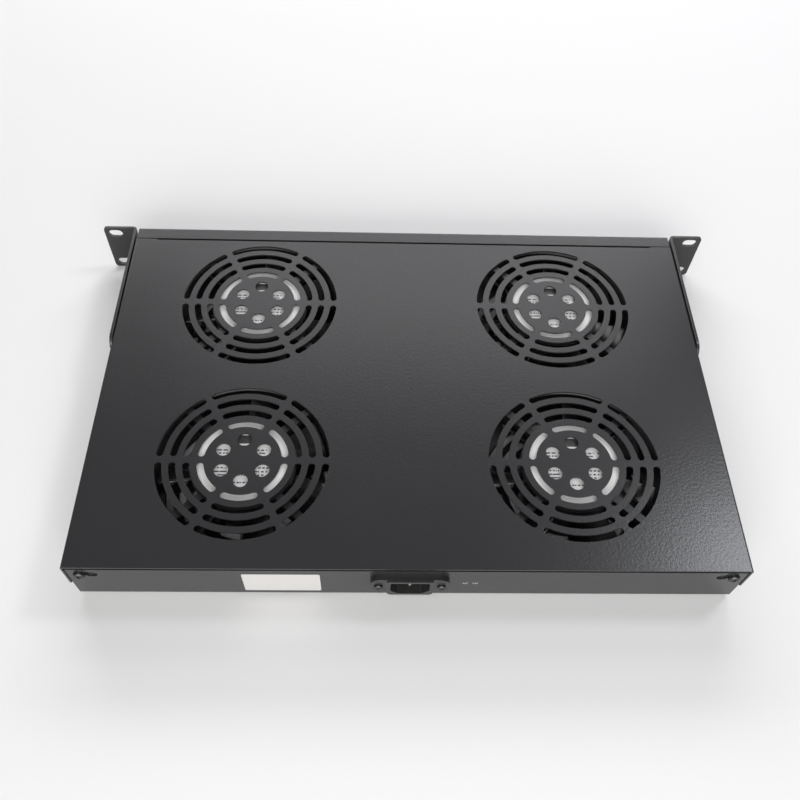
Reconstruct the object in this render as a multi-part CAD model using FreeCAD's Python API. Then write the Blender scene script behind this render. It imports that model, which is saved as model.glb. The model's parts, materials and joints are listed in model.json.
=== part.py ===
import FreeCAD, Part
import math
import os

# Rack fan tray, 19-inch, one unit high, with four axial mains fans.
# Millimetres. +X runs along the tray's width, +Y into the rack, +Z up.
# The origin is the centre of the four rack slots, in the bearing face at the back of the ears.

# ---- rack interface ----
RACK_WIDTH = 482.6
EAR_WIDTH = 24.8
EAR_OVERHANG = 1.25
EAR_SLOT_INSET = 8.75
EAR_SLOT_SPACING_Z = 31.75
EAR_SLOT_LENGTH = 11.0
EAR_SLOT_WIDTH = 7.0
EAR_CORNER = 3.0

# ---- ear brackets ----
BRACKET_SHEET = 2.0
BRACKET_BEND = 1.0
BRACKET_LENGTH = 115.0
BRACKET_END_CORNER = 9.0
BRACKET_SCREW_END = 20.0
BRACKET_SCREW_COUNT = 3
BRACKET_SCREW_DROP = 10.0

# ---- tray and cover ----
SHEET = 1.2
BEND = 0.4
LAP_GAP = 0.3
SKIRT_HEIGHT = 23.5
FRONT_FLANGE = 11.0
SEAM_GAP = 1.8
SEAM_STEP = 1.0
SEAM_STEP_INSET = 17.5
BACK_PANEL_INSET = 0.5
BACK_PANEL_DROP = 4.5
BACK_TAB_WIDTH = 19.6
BACK_TAB_HEIGHT = 21.0
BACK_TAB_LEAF = 12.0
BACK_TAB_SLANT = 9.0
BACK_TAB_SIDE_GAP = 0.5
BACK_SCREW_INSET = 5.8
BACK_SCREW_Z = 9.5
BACK_HOLE_RADIUS = 4.0
BACK_HOLE_SPACING = 7.2
BACK_HOLE_Z = 10.0

# ---- fans ----
FAN_SIZE = 120.0
FAN_DEPTH = 38.0
FAN_HOLE_INSET = 7.5
FAN_ROW_GAP = 16.5
FAN_TOP_GAP = 1.1
FRONT_CHANNEL = 13.8
MIDDLE_CHANNEL = 101.4
BACK_CHANNEL = 16.7
FAN_CORNER = 7.0
FAN_FLANGE = 5.0
FAN_BARREL_INSET = 0.1
FAN_WALL = 1.7
FAN_LIP = 1.4
FAN_HUB_PLATE_LIP = 1.9
FAN_HUB_PLATE = 3.6
FAN_HUB_RECESS = 0.4
FAN_STRUT_WIDTH = 5.5
FAN_STRUT_DEPTH = 5.0
FAN_LABEL_INSET = 3.0
FAN_LABEL = 0.3
FAN_LABEL_SINK = 0.4
FAN_LABEL_GAP = 0.5
FAN_LEAD_DROP = 4.0

# ---- impellers ----
TIP_CLEARANCE = 1.2
HUB_RADIUS = 33.6
HUB_WALL = 2.6
HUB_FLOOR = 2.5
HUB_BOTTOM = 3.5
HUB_TOP_CLEARANCE = 1.0
BLADE_COUNT = 7
BLADE_SHEET = 1.8
BLADE_CAMBER = 0.16
BLADE_BOTTOM = 4.0
BLADE_STRUT_CLEARANCE = 1.0
BLADE_HUB_CHORD = 18.0
BLADE_TIP_CHORD = 27.0
SHAFT_RADIUS = 2.5
SHAFT_RUNNING_GAP = 0.05
SHAFT_BOSS_RADIUS = 6.0
SHAFT_BOSS_HEIGHT = 4.0
SHAFT_HEAD_GAP = 0.8
BEARING_RADIUS = 5.0
BEARING_LENGTH = 5.0
BEARING_TUBE_WALL = 1.8
STATOR_GAP = 0.6
STATOR_CORE_HEIGHT = 10.0
STATOR_COIL_HEIGHT = 4.0
STATOR_COIL_INSET = 4.0

# ---- punched grilles ----
GRILLE_BORE_INSET = 2.9
GRILLE_RING_PITCH = 9.1
GRILLE_RING_COUNT = 4
GRILLE_SLOT_WIDTH = 4.7
GRILLE_SPOKE_WIDTH = 4.4
GRILLE_SPOKE_COUNT = 6
GRILLE_HOLE_CIRCLE = 15.6
GRILLE_HOLE_RADIUS = 4.8

# ---- mains inlet ----
INLET_Z = 1.5
INLET_FLANGE_WIDTH = 50.0
INLET_FLANGE_HEIGHT = 20.0
INLET_FLANGE_CORNER = 7.0
INLET_FLANGE_DEPTH = 3.8
INLET_RIM_WALL = 2.3
INLET_RIM_DEPTH = 1.7
INLET_RIM_CHAMFER = 2.2
INLET_BACK_WALL_X = 0.9
INLET_BACK_WALL_Z = 1.1
INLET_BACK_DEPTH = 14.0
INLET_CUTOUT_GAP = 0.3
INLET_SOCKET_WIDTH = 24.8
INLET_SOCKET_HEIGHT = 16.4
INLET_SOCKET_DEPTH = 15.5
INLET_SOCKET_CHAMFER = 5.0
INLET_SCREW_SPACING = 40.0
PIN_WIDTH = 2.0
PIN_HEIGHT = 4.0
PIN_SPACING = 14.0
PIN_STEP = 4.0
PIN_LENGTH = 11.0
EARTH_PIN_EXTRA = 1.2
TAB_WIDTH = 4.8
TAB_SHEET = 0.8
TAB_LENGTH = 8.0

# ---- power switch ----
SWITCH_INSET = 19.8
SWITCH_BEZEL_LIP_X = 1.0
SWITCH_BEZEL_LIP_Z = 1.2
SWITCH_BEZEL_DEPTH = 2.0
SWITCH_BEZEL_CORNER = 1.5
SWITCH_BODY_WIDTH = 19.0
SWITCH_BODY_HEIGHT = 12.6
SWITCH_BODY_DEPTH = 15.0
SWITCH_CUTOUT_GAP = 0.1
SWITCH_WELL_DEPTH = 9.0
SWITCH_WELL_WALL = 1.8
ROCKER_TILT = 10.0
ROCKER_GAP = 0.35
ROCKER_RADIUS = 7.0
ROCKER_PIVOT_DEPTH = 1.5
ROCKER_PIN_RADIUS = 1.2
ROCKER_PIN_GAP = 0.05
ROCKER_PIN_SINK = 1.0
ROCKER_PROUD = 0.4
ROCKER_EDGE = 1.2
ROCKER_WING_SHARE = 0.9
ROCKER_DISH_SHARE = 0.7
ROCKER_KEEL_SHARE = 0.55
SWITCH_TAB_SPACING = 8.0

# ---- wiring ----
BLOCK_LENGTH = 46.0
BLOCK_WIDTH = 20.0
BLOCK_HEIGHT = 14.0
BLOCK_CHAMFER = 3.0
BLOCK_POLES = 4
BLOCK_ENTRY_HEIGHT = 6.0
BLOCK_ENTRY_DEPTH = 3.0
BLOCK_ENTRY_GAP = 0.2
BLOCK_SCREW_RADIUS = 2.0
BLOCK_SCREW_GAP = 0.15
BLOCK_SCREW_HEIGHT = 4.0
BLOCK_SCREW_SINK = 1.0
BLOCK_SCREW_OFFSET = 4.5
BLOCK_FIXING_INSET = 3.0
BLOCK_FIXING_SINK = 6.0
SLEEVE_WIDTH = 4.0
SLEEVE_HEIGHT = 6.8
SLEEVE_LENGTH = 13.0
SLEEVE_GAP = 0.1
LEAD_RADIUS = 1.3
LEAD_BEND_SHARE = 0.45
LEAD_PAIR_SPACING = 4.2
LIVE_RISE_Y = 56.0
LIVE_SWING_X = 15.0
LIVE_SWING_Y = 32.0
LIVE_LEVEL_Y = 15.0
NEUTRAL_RISE_Y = 60.0
NEUTRAL_SWING_X = 11.0
NEUTRAL_SWING_Y = 37.0
NEUTRAL_LEVEL_Y = 16.0
LEAD_SWING_Z = -8.0
EARTH_SWING_X = 3.0
EARTH_SWING_Y = 24.0
EARTH_SWING_Z = -11.0
EARTH_LEVEL_Y = 13.0
EARTH_RUN_IN = 11.0
FRONT_RUN_Y = 4.4
CHANNEL_RUN_X = 28.0
CLIP_SHEET = 1.0
CLIP_GAP = 0.3
CLIP_LENGTH = 9.0
CLIP_FOOT = 2.0
CLIP_FROM_SWITCH = 42.0
CLIP_FROM_CHANNEL = 32.0
CLIP_FROM_FRONT = 40.0
CLIP_FROM_BLOCK = 40.0
STUD_RADIUS = 2.0
STUD_LENGTH = 12.0
STUD_X = -34.0
STUD_FROM_BACK = 24.0
RING_OUTER = 4.5
RING_SHEET = 0.8
RING_BARREL_RADIUS = 2.0
RING_BARREL_LENGTH = 8.0
RATING_WIDTH = 49.0
RATING_HEIGHT = 26.0
RATING_SHEET = 0.2
RATING_X = 81.3
RATING_Z = -2.3

# ---- fasteners ----
M4_RADIUS = 2.0
M4_HOLE_RADIUS = 2.25
M4_HEAD_RADIUS = 3.7
M4_HEAD = 2.4
M4_LOW_HEAD = 1.6
M4_NUT_FLATS = 7.0
M4_NUT = 3.2
M3_RADIUS = 1.5
M3_HOLE_RADIUS = 1.7
M3_HEAD_RADIUS = 2.8
M3_HEAD = 1.8
M3_NUT_FLATS = 5.5
M3_NUT = 2.4
THREAD_GAP = 0.05
THREAD_PROUD = 1.0
CROSS_WIDTH = 0.9
CROSS_SHARE = 0.62

# ---- places that follow from the sizes above ----
BODY_HEIGHT = FAN_DEPTH + FAN_TOP_GAP + 2 * SHEET
TOP = BODY_HEIGHT / 2
BOTTOM = -BODY_HEIGHT / 2
UNDER_COVER = TOP - SHEET
FLOOR = BOTTOM + SHEET
EAR_HEIGHT = BODY_HEIGHT + 2 * EAR_OVERHANG
EAR_TIP = RACK_WIDTH / 2
EAR_SLOT_X = EAR_TIP - EAR_SLOT_INSET
BRACKET_OUTER = EAR_TIP - EAR_WIDTH
COVER_HALF = BRACKET_OUTER - BRACKET_SHEET
BODY_BACK = FRONT_CHANNEL + 2 * FAN_SIZE + FAN_ROW_GAP + BACK_CHANNEL
TRAY_HALF = COVER_HALF - SHEET - LAP_GAP
TRAY_INNER = TRAY_HALF - SHEET
FRONT = -BRACKET_SHEET
FRONT_INNER = FRONT + SHEET
SEAM_FRONT = FRONT + FRONT_FLANGE
COVER_FRONT = SEAM_FRONT + SEAM_GAP - SEAM_STEP
PANEL_FACE = BODY_BACK - BACK_PANEL_INSET
PANEL_INNER = PANEL_FACE - SHEET
PANEL_TOP = TOP - BACK_PANEL_DROP
BRACKET_SCREW_Z = TOP - BRACKET_SCREW_DROP
BRACKET_SCREW_PITCH = (BRACKET_LENGTH - 2 * BRACKET_SCREW_END) / (BRACKET_SCREW_COUNT - 1)
BRACKET_SCREW_Y = [BRACKET_SCREW_END + i * BRACKET_SCREW_PITCH for i in range(BRACKET_SCREW_COUNT)]
TAB_BACK = PANEL_INNER
TAB_OUTER = TRAY_INNER - BACK_TAB_SIDE_GAP
BACK_SCREW_X = TAB_OUTER - BACK_SCREW_INSET
BACK_HOLE_X = BACK_SCREW_X - BACK_HOLE_SPACING
FAN_BOTTOM = FLOOR
FAN_TOP = FLOOR + FAN_DEPTH
FAN_HOLE_PITCH = FAN_SIZE - 2 * FAN_HOLE_INSET
FAN_PITCH_X = FAN_SIZE + MIDDLE_CHANNEL
FAN_PITCH_Y = FAN_SIZE + FAN_ROW_GAP
FAN_WAIST_RADIUS = FAN_SIZE / 2 - FAN_BARREL_INSET
FAN_BORE_RADIUS = FAN_WAIST_RADIUS - FAN_WALL
FAN_HUB_PLATE_RADIUS = HUB_RADIUS + FAN_HUB_PLATE_LIP
FAN_LABEL_RADIUS = FAN_HUB_PLATE_RADIUS - FAN_LABEL_INSET
GRILLE_OUTER_MID_RADIUS = FAN_BORE_RADIUS - GRILLE_BORE_INSET
HUB_PLATE_TOP = FAN_TOP - FAN_HUB_RECESS
HUB_PLATE_BOTTOM = HUB_PLATE_TOP - FAN_HUB_PLATE
STRUT_BOTTOM = FAN_TOP - FAN_HUB_RECESS - FAN_STRUT_DEPTH
BLADE_TIP_RADIUS = FAN_BORE_RADIUS - TIP_CLEARANCE
HUB_LOW = FAN_BOTTOM + HUB_BOTTOM
HUB_HIGH = HUB_PLATE_BOTTOM - HUB_TOP_CLEARANCE
FAN_FRONT_Y = FRONT_CHANNEL + FAN_SIZE / 2
FAN_BACK_Y = FAN_FRONT_Y + FAN_PITCH_Y
FANS = {
    "front_left": (-FAN_PITCH_X / 2, FAN_FRONT_Y),
    "front_right": (FAN_PITCH_X / 2, FAN_FRONT_Y),
    "back_left": (-FAN_PITCH_X / 2, FAN_BACK_Y),
    "back_right": (FAN_PITCH_X / 2, FAN_BACK_Y),
}
INLET_RIM_WIDTH = INLET_SOCKET_WIDTH + 2 * INLET_RIM_WALL
INLET_BACK_WIDTH = INLET_SOCKET_WIDTH + 2 * INLET_BACK_WALL_X
INLET_BACK_HEIGHT = INLET_SOCKET_HEIGHT + 2 * INLET_BACK_WALL_Z
INLET_FLANGE_FACE = PANEL_FACE + INLET_FLANGE_DEPTH
INLET_FACE = INLET_FLANGE_FACE + INLET_RIM_DEPTH
INLET_BACK = PANEL_FACE - INLET_BACK_DEPTH
SOCKET_FLOOR = INLET_FACE - INLET_SOCKET_DEPTH
BLOCK_Y = (FAN_FRONT_Y + FAN_BACK_Y) / 2
STUD_Y = PANEL_INNER - STUD_FROM_BACK
LEAD_Z = FLOOR + CLIP_SHEET + CLIP_GAP + LEAD_RADIUS
BLOCK_ENTRY_Z = FLOOR + BLOCK_ENTRY_HEIGHT
BLOCK_ENTRY_X = BLOCK_WIDTH / 2 - BLOCK_ENTRY_DEPTH
BLOCK_POLE_PITCH = BLOCK_LENGTH / (BLOCK_POLES + 1)
BLOCK_POLE_Y = [BLOCK_Y + (i - (BLOCK_POLES - 1) / 2) * BLOCK_POLE_PITCH for i in range(BLOCK_POLES)]
INLET_SLEEVE_END = INLET_BACK - SLEEVE_LENGTH
SWITCH_X = TRAY_INNER - SWITCH_INSET
SWITCH_BEZEL_WIDTH = SWITCH_BODY_WIDTH + 2 * SWITCH_BEZEL_LIP_X
SWITCH_BEZEL_HEIGHT = SWITCH_BODY_HEIGHT + 2 * SWITCH_BEZEL_LIP_Z
SWITCH_BACK = FRONT + SWITCH_BODY_DEPTH
SWITCH_TAB_Y = SWITCH_BACK + TAB_LENGTH / 2
SWITCH_SLEEVE_LOW = -SLEEVE_LENGTH / 2 + 2.0
FAN_LEAD_Z = FAN_TOP - FAN_FLANGE - FAN_LEAD_DROP

X_AXIS = FreeCAD.Vector(1, 0, 0)
Y_AXIS = FreeCAD.Vector(0, 1, 0)
Z_AXIS = FreeCAD.Vector(0, 0, 1)
ORIGIN = FreeCAD.Vector(0, 0, 0)


def point(x, y, z):
    return FreeCAD.Vector(x, y, z)


def box(low, high):
    """A box between two opposite corners."""
    size = [high[i] - low[i] for i in range(3)]
    return Part.makeBox(size[0], size[1], size[2], point(*low))


def cylinder(start, axis, length, radius):
    return Part.makeCylinder(radius, length, point(*start), axis)


def ring(start, axis, length, outer, inner):
    return cylinder(start, axis, length, outer).cut(cylinder(start, axis, length, inner))


def polygon(points):
    return Part.makePolygon([point(*p) for p in points + points[:1]])


def prism(points, direction):
    """A straight solid over a closed run of corners."""
    return Part.Face(polygon(points)).extrude(point(*direction))


def fuse(shapes):
    return shapes[0].multiFuse(shapes[1:]).removeSplitter()


def cut(shape, tools):
    return shape.cut(Part.makeCompound(tools))


def mirrored(shape):
    """The same shape on the other side of the tray's middle plane."""
    return shape.mirror(ORIGIN, X_AXIS)


def moved(shape, x, y, z):
    copy = shape.copy()
    copy.translate(point(x, y, z))
    return copy


def round_edges(shape, radius, chosen):
    """Rounds the straight edges whose middle point passes the test."""
    edges = []
    for edge in shape.Edges:
        middle = edge.CenterOfMass
        if len(edge.Vertexes) == 2 and chosen(edge, middle):
            edges.append(edge)
    return shape.makeFillet(radius, edges)


def runs_along(edge, axis):
    ends = edge.Vertexes[1].Point.sub(edge.Vertexes[0].Point)
    return abs(ends.normalize().dot(axis)) > 0.999


def rounded_slab(width, height, corner, start_y, depth, z):
    """A slab facing +Y with rounded corners, centred on x = 0."""
    slab = box((-width / 2, start_y, z - height / 2), (width / 2, start_y + depth, z + height / 2))
    return round_edges(slab, corner, lambda edge, middle: runs_along(edge, Y_AXIS))


def save(name, shape):
    shape.exportStep(os.path.join("parts", name + ".step"))
    print(name, len(shape.Solids), "solids, valid", shape.isValid(), "volume", round(shape.Volume, 1))


# ---- fasteners ----

def cross_recess(head_radius, head_height):
    length = head_radius * CROSS_SHARE
    depth = head_height / 2
    bars = []
    for half_x, half_y in ((length, CROSS_WIDTH / 2), (CROSS_WIDTH / 2, length)):
        bars.append(box((-half_x, -half_y, head_height - depth), (half_x, half_y, head_height + 1)))
    return bars


def screw(radius, head_radius, head_height, length):
    """A pan-head screw along Z: its head stands on z = 0 and its shank hangs below."""
    head = Part.makeCylinder(head_radius, head_height)
    head = round_edges_of_top(head, head_height, head_height * 0.6)
    head = cut(head, cross_recess(head_radius, head_height))
    shank = Part.makeCylinder(radius, length, point(0, 0, -length))
    return fuse([head, shank])


def round_edges_of_top(solid, height, radius):
    top = [edge for edge in solid.Edges
           if len(edge.Vertexes) == 1 and abs(edge.CenterOfMass.z - height) < 1e-6]
    return solid.makeFillet(radius, top)


def nut(radius, flats, height):
    """A plain hexagon nut standing on z = 0."""
    corner = flats / math.sqrt(3)
    corners = []
    for i in range(6):
        angle = math.radians(60 * i)
        corners.append((corner * math.cos(angle), corner * math.sin(angle), 0))
    return prism(corners, (0, 0, height)).cut(Part.makeCylinder(radius + THREAD_GAP, height))


def placed(shape, position, direction):
    """Turns a shape's +Z to the direction and puts its origin at the position."""
    turn = FreeCAD.Rotation(Z_AXIS, point(*direction))
    copy = shape.copy()
    copy.Placement = FreeCAD.Placement(point(*position), turn)
    return copy


# ---- grilles ----

def ring_slot(mid_radius, middle_angle):
    """One curved slot with full-round ends, through the whole height of a sheet."""
    half = GRILLE_SLOT_WIDTH / 2
    end_angle = math.asin((GRILLE_SPOKE_WIDTH / 2 + half) / mid_radius)
    span = math.pi / GRILLE_SPOKE_COUNT - end_angle

    def at(radius, angle):
        turned = middle_angle + angle
        return point(radius * math.cos(turned), radius * math.sin(turned), 0)

    def end_tip(side):
        centre = at(mid_radius, side * span)
        along = middle_angle + side * (span + math.pi / 2)
        return centre.add(point(half * math.cos(along), half * math.sin(along), 0))

    outer = mid_radius + half
    inner = mid_radius - half
    edges = [
        Part.Arc(at(outer, -span), at(outer, 0), at(outer, span)).toShape(),
        Part.Arc(at(outer, span), end_tip(1), at(inner, span)).toShape(),
        Part.Arc(at(inner, span), at(inner, 0), at(inner, -span)).toShape(),
        Part.Arc(at(inner, -span), end_tip(-1), at(outer, -span)).toShape(),
    ]
    return Part.Face(Part.Wire(edges)).extrude(point(0, 0, 3 * SHEET))


def grille_tools():
    """The cutters of one grille, centred on the origin and standing on z = 0."""
    tools = []
    step = 2 * math.pi / GRILLE_SPOKE_COUNT
    for index in range(GRILLE_RING_COUNT):
        mid_radius = GRILLE_OUTER_MID_RADIUS - index * GRILLE_RING_PITCH
        for spoke in range(GRILLE_SPOKE_COUNT):
            tools.append(ring_slot(mid_radius, (spoke + 0.5) * step))
    for spoke in range(GRILLE_SPOKE_COUNT):
        angle = (spoke + 0.5) * step
        x = GRILLE_HOLE_CIRCLE * math.cos(angle)
        y = GRILLE_HOLE_CIRCLE * math.sin(angle)
        tools.append(cylinder((x, y, 0), Z_AXIS, 3 * SHEET, GRILLE_HOLE_RADIUS))
    return tools


def all_grilles(sheet_bottom):
    """The cutters of all four grilles, through the sheet that starts at the given height."""
    one = Part.makeCompound(grille_tools())
    return [moved(one, x, y, sheet_bottom - SHEET) for x, y in FANS.values()]


# ---- sheet metal ----

def fan_hole_places():
    half = FAN_HOLE_PITCH / 2
    for x, y in FANS.values():
        for side_x in (-half, half):
            for side_y in (-half, half):
                yield x + side_x, y + side_y


def base_tray():
    outer = box((-TRAY_HALF, FRONT, BOTTOM), (TRAY_HALF, PANEL_FACE, TOP))
    outer = round_edges(outer, SHEET + BEND, lambda edge, middle: folded_edge(middle))
    hollow = box((-TRAY_INNER, FRONT_INNER, FLOOR), (TRAY_INNER, PANEL_INNER, UNDER_COVER))
    hollow = round_edges(hollow, BEND, lambda edge, middle: abs(middle.z - FLOOR) < 1e-6)
    above_sides = box((-2 * COVER_HALF, SEAM_FRONT, UNDER_COVER - LAP_GAP),
                      (2 * COVER_HALF, 2 * BODY_BACK, 2 * TOP))
    above_panel = box((-2 * COVER_HALF, PANEL_INNER, PANEL_TOP), (2 * COVER_HALF, 2 * BODY_BACK, 2 * TOP))
    tray = outer.cut(hollow).cut(above_sides).cut(above_panel)
    tools = all_grilles(BOTTOM)
    for x, y in fan_hole_places():
        tools.append(cylinder((x, y, BOTTOM - SHEET), Z_AXIS, 3 * SHEET, M4_HOLE_RADIUS))
    for side in (-1, 1):
        start = (side * TRAY_HALF - 2 * SHEET, 0, 0)
        for y in BRACKET_SCREW_Y:
            tools.append(cylinder((start[0], y, BRACKET_SCREW_Z), X_AXIS, 4 * SHEET, M4_HOLE_RADIUS))
        back = PANEL_INNER - SHEET
        tools.append(cylinder((side * BACK_SCREW_X, back, BACK_SCREW_Z), Y_AXIS, 3 * SHEET, M4_HOLE_RADIUS))
        tools.append(cylinder((side * BACK_HOLE_X, back, BACK_HOLE_Z), Y_AXIS, 3 * SHEET, BACK_HOLE_RADIUS))
        inlet_x = side * INLET_SCREW_SPACING / 2
        tools.append(cylinder((inlet_x, back, INLET_Z), Y_AXIS, 3 * SHEET, M3_HOLE_RADIUS))
    for y in block_fixing_places():
        tools.append(cylinder((0, y, BOTTOM - SHEET), Z_AXIS, 3 * SHEET, M3_HOLE_RADIUS))
    half_width = INLET_BACK_WIDTH / 2 + INLET_CUTOUT_GAP
    half_height = INLET_BACK_HEIGHT / 2 + INLET_CUTOUT_GAP
    tools.append(box((-half_width, PANEL_INNER - SHEET, INLET_Z - half_height),
                     (half_width, PANEL_FACE + SHEET, INLET_Z + half_height)))
    half_width = SWITCH_BODY_WIDTH / 2 + SWITCH_CUTOUT_GAP
    half_height = SWITCH_BODY_HEIGHT / 2 + SWITCH_CUTOUT_GAP
    tools.append(box((SWITCH_X - half_width, FRONT - SHEET, -half_height),
                     (SWITCH_X + half_width, FRONT_INNER + SHEET, half_height)))
    tools.append(cylinder((STUD_X, STUD_Y, BOTTOM - SHEET), Z_AXIS, 3 * SHEET, STUD_RADIUS))
    return cut(tray, tools)


def folded_edge(middle):
    """The bottom edges and the front's top edge of the tray are folds; its other edges are cut."""
    at_bottom = abs(middle.z - BOTTOM) < 1e-6
    front_top = abs(middle.z - TOP) < 1e-6 and abs(middle.y - FRONT) < 1e-6
    return at_bottom or front_top


def top_cover():
    skirt_bottom = TOP - SKIRT_HEIGHT
    outer = box((-COVER_HALF, COVER_FRONT, skirt_bottom), (COVER_HALF, BODY_BACK, TOP))
    outer = round_edges(outer, SHEET + BEND, lambda edge, middle: runs_along(edge, Y_AXIS) and middle.z > 0)
    inner_half = COVER_HALF - SHEET
    inner = box((-inner_half, COVER_FRONT - 1, skirt_bottom - 1), (inner_half, BODY_BACK + 1, UNDER_COVER))
    inner = round_edges(inner, BEND, lambda edge, middle: runs_along(edge, Y_AXIS) and middle.z > 0)
    notch_half = COVER_HALF - SEAM_STEP_INSET
    notch = box((-notch_half, COVER_FRONT - 1, UNDER_COVER - 1),
                (notch_half, COVER_FRONT + SEAM_STEP, TOP + 1))
    tools = [inner, notch] + all_grilles(UNDER_COVER)
    for y in BRACKET_SCREW_Y:
        start = (-COVER_HALF - 1, y, BRACKET_SCREW_Z)
        tools.append(cylinder(start, X_AXIS, 2 * COVER_HALF + 2, M4_HOLE_RADIUS))
    return cut(outer, tools)


def back_tab():
    """The angle welded under the cover's back edge, which takes one of the two back screws."""
    left = TAB_OUTER - BACK_TAB_WIDTH
    low = UNDER_COVER - BACK_TAB_HEIGHT
    upright = prism([(TAB_OUTER, TAB_BACK, UNDER_COVER), (left + BACK_TAB_SLANT, TAB_BACK, UNDER_COVER),
                     (left, TAB_BACK, low), (TAB_OUTER, TAB_BACK, low)], (0, -SHEET, 0))
    leaf = box((left + BACK_TAB_SLANT, TAB_BACK - BACK_TAB_LEAF, UNDER_COVER - SHEET),
               (TAB_OUTER, TAB_BACK, UNDER_COVER))
    hole = cylinder((BACK_SCREW_X, TAB_BACK + 1, BACK_SCREW_Z), Y_AXIS.negative(), 3 * SHEET, M4_HOLE_RADIUS)
    return fuse([upright, leaf]).cut(hole)


def ear_bracket():
    """The right-hand ear bracket: an ear in front and a flange along the tray's side."""
    half = EAR_HEIGHT / 2
    inner_radius = BRACKET_BEND
    outer_radius = BRACKET_BEND + BRACKET_SHEET
    bend_x = BRACKET_OUTER + inner_radius
    bend_y = inner_radius
    diagonal = math.sqrt(0.5)

    def arc(radius, start, end):
        middle = point(bend_x - radius * diagonal, bend_y - radius * diagonal, -half)
        return Part.Arc(start, middle, end).toShape()

    def line(start, end):
        return Part.LineSegment(start, end).toShape()

    flange_out = point(COVER_HALF, BRACKET_LENGTH, -half)
    outer_side = point(COVER_HALF, bend_y, -half)
    outer_front = point(bend_x, FRONT, -half)
    tip_front = point(EAR_TIP, FRONT, -half)
    tip_back = point(EAR_TIP, 0, -half)
    inner_front = point(bend_x, 0, -half)
    inner_side = point(BRACKET_OUTER, bend_y, -half)
    flange_in = point(BRACKET_OUTER, BRACKET_LENGTH, -half)
    outline = Part.Wire([
        line(flange_out, outer_side), arc(outer_radius, outer_side, outer_front),
        line(outer_front, tip_front), line(tip_front, tip_back), line(tip_back, inner_front),
        arc(inner_radius, inner_front, inner_side), line(inner_side, flange_in), line(flange_in, flange_out),
    ])
    bracket = Part.Face(outline).extrude(point(0, 0, EAR_HEIGHT))
    bracket = round_edges(bracket, EAR_CORNER, lambda edge, middle: runs_along(edge, Y_AXIS)
                          and abs(middle.x - EAR_TIP) < 1e-6)
    bracket = round_edges(bracket, BRACKET_END_CORNER, lambda edge, middle: runs_along(edge, X_AXIS)
                          and abs(middle.y - BRACKET_LENGTH) < 1e-6 and abs(middle.z) > half - 1e-6)
    tools = []
    for side in (-1, 1):
        z = side * EAR_SLOT_SPACING_Z / 2
        tools.append(ear_slot(EAR_SLOT_X, z))
    for y in BRACKET_SCREW_Y:
        start = (COVER_HALF - 1, y, BRACKET_SCREW_Z)
        tools.append(cylinder(start, X_AXIS, BRACKET_SHEET + 2, M4_HOLE_RADIUS))
    return cut(bracket, tools)


def ear_slot(x, z):
    radius = EAR_SLOT_WIDTH / 2
    reach = EAR_SLOT_LENGTH / 2 - radius
    start = FRONT - 1
    depth = BRACKET_SHEET + 2
    middle = box((x - reach, start, z - radius), (x + reach, start + depth, z + radius))
    ends = [cylinder((x + side * reach, start, z), Y_AXIS, depth, radius) for side in (-1, 1)]
    return fuse([middle] + ends)


# ---- fans: each is modelled on the Z axis at its real height, then moved to its place ----

def fan_frame():
    half = FAN_SIZE / 2
    body = cylinder((0, 0, FAN_BOTTOM), Z_AXIS, FAN_DEPTH, FAN_WAIST_RADIUS)
    flanges = []
    for low in (FAN_BOTTOM, FAN_TOP - FAN_FLANGE):
        slab = box((-half, -half, low), (half, half, low + FAN_FLANGE))
        flanges.append(round_edges(slab, FAN_CORNER, lambda edge, middle: runs_along(edge, Z_AXIS)))
    shell = fuse([body] + flanges)
    bore = cylinder((0, 0, FAN_BOTTOM), Z_AXIS, FAN_DEPTH, FAN_BORE_RADIUS)
    shell = shell.cut(bore)
    mouth = Part.makeCone(FAN_BORE_RADIUS, FAN_BORE_RADIUS + FAN_LIP, FAN_LIP, point(0, 0, FAN_TOP - FAN_LIP))
    shell = shell.cut(mouth)
    hub_plate = cylinder((0, 0, HUB_PLATE_BOTTOM), Z_AXIS, FAN_HUB_PLATE, FAN_HUB_PLATE_RADIUS)
    reach = FAN_BORE_RADIUS + (FAN_WAIST_RADIUS - FAN_BORE_RADIUS) / 2
    struts = []
    for quarter in range(4):
        strut = box(((HUB_RADIUS + FAN_HUB_PLATE_RADIUS) / 2, -FAN_STRUT_WIDTH / 2, STRUT_BOTTOM),
                    (reach, FAN_STRUT_WIDTH / 2, STRUT_BOTTOM + FAN_STRUT_DEPTH))
        strut.rotate(ORIGIN, Z_AXIS, 45 + 90 * quarter)
        struts.append(strut)
    tube_low = HUB_LOW + HUB_FLOOR + SHAFT_BOSS_HEIGHT + HUB_TOP_CLEARANCE
    tube = cylinder((0, 0, tube_low), Z_AXIS, HUB_PLATE_BOTTOM - tube_low, BEARING_RADIUS + BEARING_TUBE_WALL)
    frame = fuse([shell, hub_plate, tube] + struts)
    tools = [
        cylinder((0, 0, HUB_PLATE_TOP - FAN_LABEL_SINK), Z_AXIS, FAN_LABEL_SINK + 1,
                 FAN_LABEL_RADIUS + FAN_LABEL_GAP),
        cylinder((0, 0, tube_low), Z_AXIS, HUB_PLATE_BOTTOM - tube_low, BEARING_RADIUS),
    ]
    for side_x in (-1, 1):
        for side_y in (-1, 1):
            place = (side_x * FAN_HOLE_PITCH / 2, side_y * FAN_HOLE_PITCH / 2, FAN_BOTTOM - 1)
            tools.append(cylinder(place, Z_AXIS, FAN_DEPTH + 2, M4_HOLE_RADIUS))
    return cut(frame, tools)


def fan_label():
    return cylinder((0, 0, HUB_PLATE_TOP - FAN_LABEL_SINK), Z_AXIS, FAN_LABEL, FAN_LABEL_RADIUS)


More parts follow.
